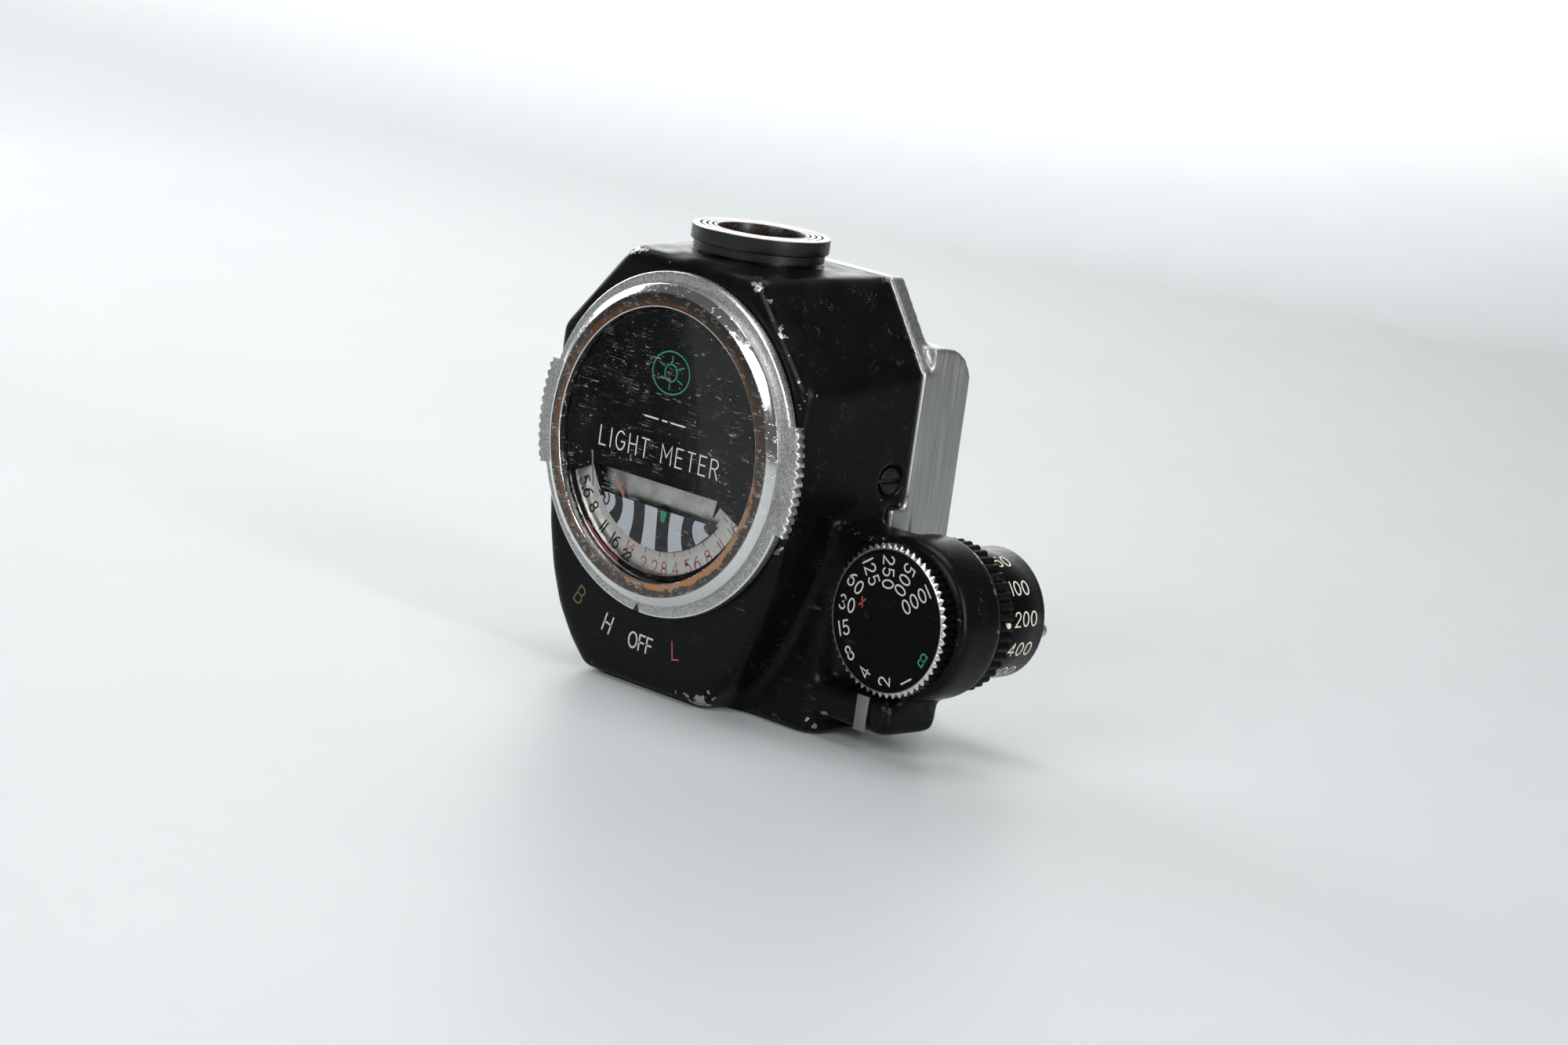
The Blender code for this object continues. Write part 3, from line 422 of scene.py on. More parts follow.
def window_glass(name):
    """Clear glass seen as what it mirrors, with dust, smears and fine scratches on it."""
    paint = Paint(name, (0.85, 0.85, 0.84), 0.03, 1.0)
    mirror = paint.node("Fresnel", IOR=1.3).outputs[0]
    specks = paint.specks(0.9, 0.075, 0.42)
    small = paint.specks(2.6, 0.10, 0.21)
    marks = paint.larger(paint.streaks(1.6, (0, 40, 0), 0.012, 0.04),
                         paint.streaks(1.9, (0, -55, 0), 0.012, 0.04))
    haze = paint.band(paint.noise(0.2, detail=5), 0.4, 0.8, 0.0, 0.006)
    dirt = paint.larger(paint.times(specks, 0.8),
                        paint.larger(paint.times(small, 0.45), paint.times(marks, 0.3)))
    paint.set("Metallic", paint.band(dirt, 0.05, 0.2, 1, 0))
    veil = paint.plus(paint.times(mirror, 0.04), haze)
    paint.set("Alpha", paint.larger(veil, dirt))
    paint.set("Roughness", paint.band(paint.plus(dirt, haze), 0.02, 0.2, 0.03, 0.6))
    return paint.material


def printed(name, colour, roughness=0.55):
    """Flat paint or print, uneven and a little soiled."""
    paint = Paint(name, colour, roughness)
    cloud = paint.noise(0.6, detail=6)
    grain = paint.noise(14, detail=2)
    shade = paint.blend(grain, tuple(c * 0.86 for c in colour), tuple(c * 1.1 for c in colour))
    shade = paint.blend(paint.band(cloud, 0.55, 0.85, 0, 0.45), shade, (0.25, 0.22, 0.18))
    shade = paint.blend(paint.times(paint.specks(2.0, 0.08, 0.2), 0.5), shade,
                        tuple(0.5 * c + 0.18 for c in colour))
    paint.set("Base Color", shade)
    paint.set("Roughness", paint.band(cloud, 0.3, 0.7, roughness - 0.1, roughness + 0.1))
    paint.bump(grain, 0.006, 0.4)
    return paint.material


def plain_metal(name, colour, roughness=0.35, tarnish=(0.12, 0.09, 0.06)):
    """Turned or stamped metal with tarnish in patches."""
    paint = Paint(name, colour, roughness, 1.0)
    cloud = paint.noise(0.5, detail=7, rough=0.65)
    grain = paint.noise(10, detail=3)
    shade = paint.blend(grain, tuple(c * 0.85 for c in colour), tuple(c * 1.1 for c in colour))
    paint.set("Base Color", paint.blend(paint.band(cloud, 0.5, 0.75, 0, 0.7), shade, tarnish))
    paint.set("Roughness", paint.band(cloud, 0.3, 0.7, roughness - 0.08, roughness + 0.15))
    paint.bump(grain, 0.01, 0.5)
    return paint.material


# ---- meshes -------------------------------------------------------------------------------
def finish(name, bm, material, at=(0, 0, 0), body="meter_body", replaces=(), slot=None,
           sharp=40):
    """A bmesh in millimetres becomes a piece that rides on a body."""
    bmesh.ops.scale(bm, vec=(MM, MM, MM), verts=bm.verts)
    bmesh.ops.recalc_face_normals(bm, faces=bm.faces)
    mesh = bpy.data.meshes.new(name)
    bm.to_mesh(mesh)
    bm.free()
    mesh.materials.append(material)
    mesh.shade_smooth()
    mesh.set_sharp_from_angle(angle=math.radians(sharp))
    piece = bpy.data.objects.new(name, mesh)
    piece.location = Vector(at) * MM
    bpy.context.scene.collection.objects.link(piece)
    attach(piece, body)
    if replaces:
        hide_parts(*replaces)
    return piece


def on_circle(radius, degrees):
    """A point at an angle, counted anticlockwise from the first axis."""
    turn = math.radians(degrees)
    return radius * math.cos(turn), radius * math.sin(turn)


def ring_mesh(profile, steps, axis="Y"):
    """A turned bmesh. profile is a closed loop of (radius, height), or a function of the
    angle that gives one."""
    bm = bmesh.new()
    rings = []
    for step in range(steps):
        degrees = 360 * step / steps
        ring = []
        for radius, height in profile(degrees) if callable(profile) else profile:
            u, v = on_circle(radius, degrees)
            ring.append(bm.verts.new((u, height, v) if axis == "Y" else (u, v, height)))
        rings.append(ring)
    count = len(rings[0])
    for step, here in enumerate(rings):
        there = rings[(step + 1) % steps]
        for index in range(count):
            after = (index + 1) % count
            bm.faces.new((here[index], here[after], there[after], there[index]))
    return bm


def slab_mesh(outline, low, high):
    """An outline of (x, z) extruded along Y."""
    bm = bmesh.new()
    face = bm.faces.new([bm.verts.new((x, low, z)) for x, z in outline])
    grown = bmesh.ops.extrude_face_region(bm, geom=[face])
    moved = [part for part in grown["geom"] if isinstance(part, bmesh.types.BMVert)]
    bmesh.ops.translate(bm, vec=(0, high - low, 0), verts=moved)
    return bm


def pierced(name, outlines, low, high, material, **where):
    """A flat plate facing -Y, from an outer outline and its holes, with softened rims."""
    rim = 0.05
    curve = bpy.data.curves.new(name + "_outline", "CURVE")
    curve.dimensions, curve.fill_mode = "2D", "BOTH"
    curve.extrude = (high - low) / 2 - rim
    curve.bevel_depth, curve.bevel_resolution, curve.offset = rim, 1, -rim
    for outline in outlines:
        spline = curve.splines.new("POLY")
        spline.points.add(len(outline) - 1)
        for point, (x, z) in zip(spline.points, outline):
            point.co = (x, z, 0, 1)
        spline.use_cyclic_u = True
    holder = bpy.data.objects.new(name + "_outline", curve)
    bpy.context.scene.collection.objects.link(holder)
    bm = bmesh.new()
    flat = bpy.data.meshes.new_from_object(holder)
    bm.from_mesh(flat)
    bpy.data.objects.remove(holder)
    bpy.data.meshes.remove(flat)
    bmesh.ops.remove_doubles(bm, verts=bm.verts, dist=0.001)
    turn = Matrix(((1, 0, 0), (0, 0, -1), (0, 1, 0)))
    bmesh.ops.transform(bm, matrix=turn.to_4x4(), verts=bm.verts)
    bmesh.ops.translate(bm, vec=(0, (low + high) / 2, 0), verts=bm.verts)
    return finish(name, bm, material, **where)


def arc(radius, start, end, steps):
    """Points on an arc round the axis, both ends included."""
    return [on_circle(radius, start + (end - start) * step / steps) for step in range(steps + 1)]


def mark_edges(piece, gain, blur=2):
    """Stores how convex each point is, from 0 to 1, for the wear in its material."""
    mesh = piece.data
    count = len(mesh.vertices)
    spots = np.empty(count * 3)
    mesh.vertices.foreach_get("co", spots)
    spots = spots.reshape(-1, 3)
    normals = np.empty(count * 3)
    mesh.vertex_normals.foreach_get("vector", normals)
    normals = normals.reshape(-1, 3)
    ends = np.empty(len(mesh.edges) * 2, int)
    mesh.edges.foreach_get("vertices", ends)
    first, second = ends.reshape(-1, 2).T
    gap = spots[second] - spots[first]
    length = np.linalg.norm(gap, axis=1) + 1e-9
    bend = ((normals[second] - normals[first]) * gap).sum(1) / length ** 2 * MM
    degree = np.bincount(np.r_[first, second], minlength=count) + 1e-9
    value = np.bincount(np.r_[first, second], np.r_[bend, bend], count) / degree
    for _ in range(blur):
        passed = np.bincount(np.r_[first, second], np.r_[value[second], value[first]], count)
        value = (value + passed / degree) / 2
    attribute = mesh.attributes.new("edge", "FLOAT", "POINT")
    attribute.data.foreach_set("value", np.clip(value * gain, 0, 1).astype(np.float32))


def copy_of(name):
    """A CAD node's mesh as a bmesh in millimetres, its split corners joined again."""
    bm = bmesh.new()
    bm.from_mesh(frame["nodes"][name].data)
    bmesh.ops.scale(bm, vec=(1 / MM, 1 / MM, 1 / MM), verts=bm.verts)
    bmesh.ops.remove_doubles(bm, verts=bm.verts, dist=0.002)
    bmesh.ops.dissolve_limit(bm, angle_limit=math.radians(0.5), verts=bm.verts, edges=bm.edges)
    return bm


def bevelled(bm, width, angle):
    """Rounds every edge that is sharper than an angle."""
    sharp = [edge for edge in bm.edges if len(edge.link_faces) == 2
             and edge.calc_face_angle(0) > math.radians(angle)]
    bmesh.ops.bevel(bm, geom=sharp, offset=width, segments=3, profile=0.5,
                    affect="EDGES", clamp_overlap=True)
    return bm


def apply_modifiers(piece):
    """Turns a piece's modifiers into its mesh."""
    shown = bpy.context.evaluated_depsgraph_get()
    mesh = bpy.data.meshes.new_from_object(piece.evaluated_get(shown))
    piece.modifiers.clear()
    old = piece.data
    piece.data = mesh
    bpy.data.meshes.remove(old)
    mesh.shade_smooth()


def cast(piece, voxel, rounds, crisp=None):
    """Melts a piece's hard edges into the soft ones of a casting, but for the crisp ones."""
    remesh = piece.modifiers.new("voxels", "REMESH")
    remesh.mode, remesh.voxel_size = "VOXEL", voxel * MM
    apply_modifiers(piece)
    soft = piece.vertex_groups.new(name="soft")
    for vertex in piece.data.vertices:
        share = crisp(*(vertex.co / MM)) if crisp else 1.0
        soft.add([vertex.index], min(1.0, max(0.04, share)), "REPLACE")
    smooth = piece.modifiers.new("smooth", "SMOOTH")
    smooth.factor, smooth.iterations, smooth.vertex_group = 0.5, rounds, "soft"
    apply_modifiers(piece)


# ---- engraved and printed marks -----------------------------------------------------------
def oval(cx, cy, rx, ry, start=0, end=360, steps=20):
    """A stroke along an ellipse."""
    count = max(4, round(steps * abs(end - start) / 360))
    return [(cx + rx * math.cos(math.radians(start + (end - start) * i / count)),
             cy + ry * math.sin(math.radians(start + (end - start) * i / count)))
            for i in range(count + 1)]


# Each glyph is (width, strokes) in units of the cap height.
GLYPHS = {
    "0": (0.56, [oval(0.28, 0.5, 0.28, 0.5)]),
    "1": (0.10, [[(0.05, 0), (0.05, 1)]]),
    "2": (0.54, [oval(0.27, 0.73, 0.26, 0.27, 170, -40) + [(0.0, 0.0), (0.54, 0.0)]]),
    "3": (0.52, [oval(0.24, 0.76, 0.24, 0.24, 160, -90) + oval(0.25, 0.26, 0.27, 0.26, 90,
                                                             -160)]),
    "4": (0.58, [[(0.42, 0), (0.42, 1), (0, 0.3), (0.58, 0.3)]]),
    "5": (0.54, [[(0.5, 1), (0.1, 1), (0.06, 0.56)] + oval(0.25, 0.31, 0.28, 0.31, 115,
                                                           -150)]),
    "6": (0.56, [oval(0.28, 0.31, 0.27, 0.31), oval(0.53, 0.36, 0.52, 0.64, 100, 180)]),
    "8": (0.54, [oval(0.27, 0.76, 0.22, 0.24), oval(0.27, 0.27, 0.27, 0.27)]),
    ".": (0.06, [oval(0.03, 0.04, 0.035, 0.035, steps=8)]),
    "B": (0.54, [[(0, 0), (0, 1), (0.3, 1)] + oval(0.28, 0.77, 0.22, 0.23, 80, -90)
                 + oval(0.28, 0.27, 0.26, 0.27, 90, -90) + [(0, 0)],
                 [(0, 0.53), (0.3, 0.53)]]),
    "H": (0.56, [[(0, 0), (0, 1)], [(0.56, 0), (0.56, 1)], [(0, 0.52), (0.56, 0.52)]]),
    "O": (0.74, [oval(0.37, 0.5, 0.37, 0.5)]),
    "F": (0.46, [[(0, 0), (0, 1), (0.46, 1)], [(0, 0.52), (0.4, 0.52)]]),
    "L": (0.46, [[(0, 1), (0, 0), (0.46, 0)]]),
    "I": (0.04, [[(0.02, 0), (0.02, 1)]]),
    "G": (0.66, [oval(0.36, 0.5, 0.34, 0.5, 50, 345) + [(0.68, 0.46), (0.42, 0.46)]]),
    "T": (0.54, [[(0.27, 0), (0.27, 1)], [(0, 1), (0.54, 1)]]),
    "E": (0.48, [[(0.48, 0), (0, 0), (0, 1), (0.48, 1)], [(0, 0.53), (0.42, 0.53)]]),
    "M": (0.72, [[(0, 0), (0, 1), (0.36, 0.35), (0.72, 1), (0.72, 0)]]),
    " ": (0.30, []),
    "X": (0.56, [[(0, 0), (0.56, 1)], [(0, 1), (0.56, 0)]]),
    "R": (0.54, [[(0, 0), (0, 1), (0.28, 1)] + oval(0.28, 0.76, 0.24, 0.24, 80, -90)
                 + [(0, 0.52)], [(0.28, 0.52), (0.54, 0)]]),
}


def lettering(text, height, gap=0.22):
    """The strokes of a word, centred on the origin."""
    strokes, at = [], 0.0
    for letter in text:
        width, glyph = GLYPHS[letter]
        strokes += [[(at + x, y) for x, y in stroke] for stroke in glyph]
        at += width + gap
    middle = (at - gap) / 2
    return [[((x - middle) * height, (y - 0.5) * height) for x, y in stroke] for stroke in strokes]


def turned_strokes(strokes, degrees, shift):
    """Strokes turned about the origin and then moved."""
    cosine, sine = math.cos(math.radians(degrees)), math.sin(math.radians(degrees))
    return [[(x * cosine - y * sine + shift[0], x * sine + y * cosine + shift[1])
             for x, y in stroke] for stroke in strokes]


def divided(strokes, step):
    """The same strokes with points no further apart than a step, to follow a round face."""
    made = []
    for stroke in strokes:
        points = [Vector(stroke[0])]
        for end in map(Vector, stroke[1:]):
            start = points[-1]
            count = max(1, math.ceil((end - start).length / step))
            points += [start.lerp(end, i / count) for i in range(1, count + 1)]
        made.append(points)
    return made


def stroke_solid(bm, stroke, width, place, sunk, proud):
    """One round-ended stroke as a thin closed solid; place maps (u, v, height) to a point."""
    points = [Vector(p) for p in stroke]
    clean = [points[0]]
    for point in points[1:]:
        if (point - clean[-1]).length > width * 0.12:
            clean.append(point)
    closed = len(clean) > 3 and (clean[0] - clean[-1]).length < width * 0.3
    if closed:
        clean.pop()
    sides = []
    count = len(clean)
    for index, here in enumerate(clean):
        before = clean[index - 1] if index or closed else here
        after = clean[(index + 1) % count] if index < count - 1 or closed else here
        first, second = (here - before), (after - here)
        first = first.normalized() if first.length else second.normalized()
        second = second.normalized() if second.length else first
        lean = first + second
        lean = lean.normalized() if lean.length > 0.1 else first
        across = Vector((-lean.y, lean.x)) * width / 2 / max(0.6, lean.dot(first))
        sides.append((here + across, here - across))
    if closed:
        loops = [[side[0] for side in sides], [side[1] for side in sides]]
    else:
        ahead = (clean[-1] - clean[-2]).normalized()
        behind = (clean[0] - clean[1]).normalized()
        outline = [side[0] for side in sides]
        outline += round_end(clean[-1], ahead, width)
        outline += [side[1] for side in reversed(sides)]
        outline += round_end(clean[0], behind, width)
        loops = [outline]
    layers = [[[bm.verts.new(place(p.x, p.y, height)) for p in loop] for loop in loops]
              for height in (sunk, proud)]
    for low, high in zip(*layers):
        size = len(low)
        for index in range(size):
            after = (index + 1) % size
            bm.faces.new((low[index], low[after], high[after], high[index]))
    for layer in layers:
        if closed:
            outer, inner = layer
            for index in range(len(outer)):
                after = (index + 1) % len(outer)
                bm.faces.new((outer[index], outer[after], inner[after], inner[index]))
        else:
            bm.faces.new(layer[0])


def round_end(centre, direction, width):
    """Points of a half circle past a stroke's end, from its left side to its right."""
    start = math.atan2(direction.y, direction.x) + math.pi / 2
    return [centre + Vector((math.cos(start - math.pi * i / 5),
                             math.sin(start - math.pi * i / 5))) * width / 2
            for i in range(1, 5)]


def marks(name, strokes, width, place, material, sunk=-0.03, proud=0.012, **where):
    """Strokes as one piece of filled engraving or print."""
    bm = bmesh.new()
    for stroke in strokes:
        stroke_solid(bm, stroke, width, place, sunk, proud)
    return finish(name, bm, material, **where)


def on_face(y, centre=(0, 0)):
    """Places (u, v) on a plane that faces -Y."""
    return lambda u, v, height: (centre[0] + u, y - height, centre[1] + v)


def at_angle(strokes, radius, degrees, lean=0.0):
    """Strokes set round a dial, upright when read from its centre outwards."""
    return turned_strokes(strokes, degrees + lean, on_circle(radius, degrees))


# ---- the pieces ---------------------------------------------------------------------------
def dressed(node, material, body="meter_body", width=0.12, slot=None, angle=35):
    """A CAD node shown again with its sharp edges rounded."""
    bm = bevelled(copy_of(node), width, angle)
    return finish(node + "_shown", bm, material, body=body, replaces=(node,), slot=slot)


def melted(node, material, voxel, rounds, gain, slot, crisp=None):
    """A CAD casting shown again with cast fillets and wear on its edges."""
    piece = finish(node + "_shown", copy_of(node), material, replaces=(node,), slot=slot)
    cast(piece, voxel, rounds, crisp)
    mark_edges(piece, gain)
    return piece


def toothed(base, height, teeth, degrees, sharp=1.0, start=0.0):
    """The radius of a rim with triangular teeth at an angle."""
    phase = ((degrees - start) * teeth / 360) % 1
    return base + height * min(1.0, sharp * (1 - abs(2 * phase - 1)))


def build_housing(looks):
    def crisp(x, y, z):
        """How far a point may move: little at the seam, the screw sinks and the dial's seat."""
        screw = math.hypot(y - 6.6, z - 31.5) if abs(x) > 19 else 9.0
        dial = abs(math.hypot(x, z - 32) - 18.5) if y < -9 else 9.0
        return min((8.9 - y) / 1.2, (screw - 2.4) / 1.0, (dial - 0.8) / 1.0)

    melted("housing", looks["enamel"], 0.36, 55, 2.2, "black_enamel", crisp)
    melted("base_casting", looks["casting"], 0.36, 4, 1.0, "satin_aluminium")
    dressed("cell_glass", looks["glass"], slot="clear_glass")
    dressed("cds_cell", looks["board"], slot="brown_board")
    dressed("cell_tube", looks["plastic"], slot="black_plastic")
    dressed("index_strip", looks["strip"], width=0.06, slot="steel")
    dressed("eyepiece_clip", looks["steel"], width=0.15, slot="steel")
    dressed("battery_cover", looks["satin"], "battery_door", 0.2, "satin_aluminium")
    for name in ("side_screw_left", "side_screw_right"):
        dressed(name, looks["dark_screw"], width=0.15, slot="steel")
    for name in ("clip_screw_left", "clip_screw_right", "base_screw_1", "base_screw_2",
                 "base_screw_3", "base_screw_4"):
        dressed(name, looks["steel"], slot="steel")
    words = (("OFF", -92.2, "print_grey", 2.0, 0.25), ("H", -106, "print_grey", 2.3, 0.25),
             ("B", -119.5, "print_olive", 2.3, 0.2), ("L", -78.3, "print_red", 2.3, 0.2))
    for word, degrees, paint, height, width in words:
        strokes = at_angle(lettering(word, height), 26.2, degrees, 90)
        marks(f"legend_{word.lower()}", strokes, width, on_face(HOUSING_FRONT, DIAL_CENTRE),
              looks[paint], -0.25, 0.03)


def build_cell_ring(looks):
    top = node_box("cell_window_ring")[1].z
    profile = [(5.6, 58.2), (5.6, top - 0.3), (5.68, top - 0.08), (5.85, top - 0.02)]
    for radius in (6.29, 7.02, 7.82):
        profile += [(radius - 0.16, top), (radius - 0.12, top - 0.3),
                    (radius + 0.12, top - 0.3), (radius + 0.16, top)]
    profile += [(8.62, top), (8.8, top - 0.04), (8.9, top - 0.16), (8.9, top - 1.85),
                (8.84, top - 1.97), (8.7, top - 2.02), (8.47, top - 2.1), (8.45, 56.6),
                (7.35, 56.6), (7.35, 54.6), (6.75, 54.6), (6.75, 58.2)]
    finish("cell_ring_shown", ring_mesh(profile, 160, "Z"), looks["anodised"],
           replaces=("cell_window_ring",), slot="black_enamel", sharp=30)


def build_bezel(looks):
    """The chrome ring with its glass: a flat scratched band inside, a polished slope outside."""
    profile = [(17.45, BEZEL_BACK), (17.45, -14.0), (17.5, -14.12), (17.62, -14.18),
               (17.85, -14.16), (18.6, -14.09), (19.2, -14.02), (19.42, -13.96),
               (19.55, -13.86), (20.3, -13.42), (20.45, -13.28), (20.5, -13.1),
               (20.5, -12.4), (20.42, -12.28), (20.3, -12.25), (18.4, -12.25),
               (18.4, BEZEL_BACK)]
    finish("bezel_shown", ring_mesh(profile, 200), looks["bezel"], DIAL_AXIS,
           replaces=("dial_bezel",), slot="chrome", sharp=30)
    glass = [(0.02, -13.2), (17.0, -13.2), (17.2, -13.3), (17.2, -13.9), (17.1, -14.0),
             (0.02, -14.0)]
    finish("glass_shown", ring_mesh(glass, 128), looks["glass"], DIAL_AXIS,
           replaces=("dial_glass",), slot="clear_glass")


def build_stripes(looks):
    """The black mask, and the plate of pale stripes that its window shows."""
    window = (arc(16.6, -156.5, -25.5, 48) + arc(12.6, -25.5, -33.9, 4)
              + [(10.9, -4.8), (-10.9, -4.8), (-9.2, -8.3)] + arc(12.6, -135, -156.5, 8))
    pierced("mask_shown", [arc(17.15, 0, 358, 120), window], MASK_FRONT, MASK_BACK,
            looks["mask"], at=DIAL_AXIS, replaces=("dial_mask",), slot="black_plastic")
    plate = slab_mesh(arc(STRIPES_RADIUS, -143, -37, 40), STRIPES_FRONT, STRIPES_BACK)
    finish("stripes_shown", plate, looks["stripe_black"], DIAL_AXIS,
           replaces=("stripe_plate",), slot="grey_print")
    bm = bmesh.new()
    # Each pale stripe has two curved sides, from an x on the plate's chord to an angle on
    # its arc.
    tops = (-10.6, -7.8, -6.3, -4.2, -2.1, 0.16, 2.6, 5.0, 6.9, 8.95)
    feet = (-139, -128, -119.5, -108.4, -98.2, -87.4, -77.3, -66.5, -55.7, -44.4)
    chord = STRIPES_RADIUS * math.sin(math.radians(-37)) - 0.02
    for index in range(0, len(tops), 2):
        sides = []
        for number in (index, index + 1):
            top = Vector((tops[number], chord))
            foot = Vector(on_circle(STRIPES_RADIUS, feet[number]))
            bend = (top + foot) / 2 + Vector((-0.16 * top.x, 0))
            sides.append([(1 - t) ** 2 * top + 2 * t * (1 - t) * bend + t * t * foot
                          for t in (0, 0.25, 0.5, 0.75, 1)])
        outline = [(p.x, p.y) for p in sides[0] + sides[1][::-1]]
        strip = slab_mesh(outline, STRIPES_FRONT - 0.05, STRIPES_FRONT + 0.01)
        part = bpy.data.meshes.new("strip")
        strip.to_mesh(part)
        strip.free()
        bm.from_mesh(part)
        bpy.data.meshes.remove(part)
    finish("pale_stripes", bm, looks["stripe_pale"], DIAL_AXIS)
    mark = slab_mesh([(0.95, -9.7), (1.75, -9.7), (1.9, -8.3), (0.9, -8.3)],
                     STRIPES_FRONT - 0.09, STRIPES_FRONT - 0.03)
    finish("green_mark", mark, looks["print_green"], DIAL_AXIS)
    hook = [oval(-9.1, -9.0, 0.5, 0.75, 60, -170)]
    marks("stripe_hook", hook, 0.26, on_face(STRIPES_FRONT - 0.05, DIAL_CENTRE),
          looks["print_black"])


def build_face(looks):
    """What is printed on the mask: generic words and a plain sun sign."""
    face = on_face(MASK_FRONT, DIAL_CENTRE)
    words = turned_strokes(lettering("LIGHT METER", 2.4, 0.36), 0, (-0.4, -1.0))
    marks("face_words", words, 0.18, face, looks["print_white"])
    sun_z = 9.3
    emblem = [oval(0, sun_z, 3.3, 2.7, steps=40), oval(0, sun_z, 1.1, 1.1, steps=24)]
    emblem += [[(1.5 * math.cos(a), sun_z + 1.4 * math.sin(a)),
                (2.5 * math.cos(a), sun_z + 2.1 * math.sin(a))]
               for a in (math.radians(30 + 60 * ray) for ray in range(6))]
    marks("face_emblem", emblem, 0.18, face, looks["print_green"])
    marks("face_bracket", [[(-12.1, -3.4), (-11.2, -7.7)]], 0.3, face, looks["strip"])
    marks("red_arc", [arc(16.9, -132, -108, 16)], 0.42, face, looks["deep_red"])
    dashes = [[(start, 3.1), (end, 3.1)] for start, end in ((-3.6, -1.2), (-0.4, 0.4), (1.2, 3.6))]
    marks("face_line", dashes, 0.2, face, looks["print_white"])


def build_scale(looks):
    """The f-number scale, and the needle with the bright plate behind it."""
    dressed("scale_disc", looks["scale"], "f_number_scale", 0.04, "grey_print")
    dressed("scale_gear", looks["brass"], "f_number_scale", 0.05, "brass")
    face = on_face(SCALE_FRONT, DIAL_CENTRE)
    # Each number stands at an angle and a radius, with a cap height.
    red = (("1.4", -105.4, 14.6, 1.15), ("2", -94.7, 15.7, 1.7), ("2.8", -84, 15.7, 1.7),
           ("4", -73.6, 15.7, 1.7), ("5.6", -62, 15.7, 1.7), ("8", -51, 15.7, 1.7),
           ("11", -41, 15.7, 1.7), ("16", -30, 15.7, 1.7))
    black = (("5.6", -147.7, 15.6, 1.7), ("8", -137, 15.6, 1.7), ("11", -125.7, 15.6, 1.7),
             ("16", -115.8, 15.6, 1.7), ("22", -106.0, 16.0, 1.15))
    for name, numbers, paint, width in (("scale_red", red, "faded_red", 0.2),
                                        ("scale_black", black, "print_black", 0.28)):
        strokes = []
        for text, degrees, radius, height in numbers:
            strokes += at_angle(lettering(text, height, 0.2), radius, degrees, 90)
        marks(name, strokes, width, face, looks[paint], body="f_number_scale")
    ticks = [[on_circle(13.5, number[1]), on_circle(14.25, number[1])] for number in red[1:]]
    marks("scale_ticks", ticks, 0.16, face, looks["faded_red"], body="f_number_scale")
    dressed("needle", looks["needle"], "pointer", 0.03, "needle_red")
    dressed("moving_coil", looks["copper"], "pointer", 0.05, "copper_wire")
    dressed("needle_backplate", looks["backplate"], width=0.03, slot="satin_aluminium")


def build_selector_ring(looks):
    """Light matt ring with two toothed lobes for the fingers and a black index notch."""
    lobe_half, notch_at, notch_half = 18, 267, 1.5

    def rim(degrees):
        from_lobe = min(abs((degrees + 180) % 360 - 180), abs(degrees % 360 - 180))
        if from_lobe <= lobe_half:
            teeth = toothed(RING_RADIUS + 0.9, 0.42, 120, degrees, 1.6, 1.5)
            return RING_RADIUS + (teeth - RING_RADIUS) * min(1.0, (lobe_half - from_lobe) / 0.5)
        from_notch = abs((degrees - notch_at + 180) % 360 - 180)
        return RING_RADIUS - 1.1 * max(0.0, 1 - from_notch / notch_half)

    def profile(degrees):
        edge = rim(degrees)
        rows = [(18.75, -11.2), (18.75, -12.45)]
        rows += [(radius, RING_FRONT) for radius in (18.8, 19.6, 20.4, 20.8, edge - 0.5,
                                                     edge - 0.24)]
        rows += [(edge - 0.14, -12.47),
                 (edge - 0.05, -12.4), (edge, -12.26), (edge, -11.35), (edge - 0.1, -11.2)]
        return rows

    ring = finish("selector_ring_shown", ring_mesh(profile, 1440), looks["ring"], DIAL_AXIS,
                  "selector", ("selector_ring",), "blasted_chrome", sharp=30)
    mark_edges(ring, 0.5, 1)
    notch = [on_circle(21.98, -93.9), on_circle(20.9, -93.0), on_circle(21.98, -92.1)]
    finish("selector_notch", slab_mesh(notch, -12.45, -11.3), looks["print_black"],
           DIAL_AXIS, "selector")
    dressed("switch_wiper", looks["brass"], "selector", 0.05, "brass")


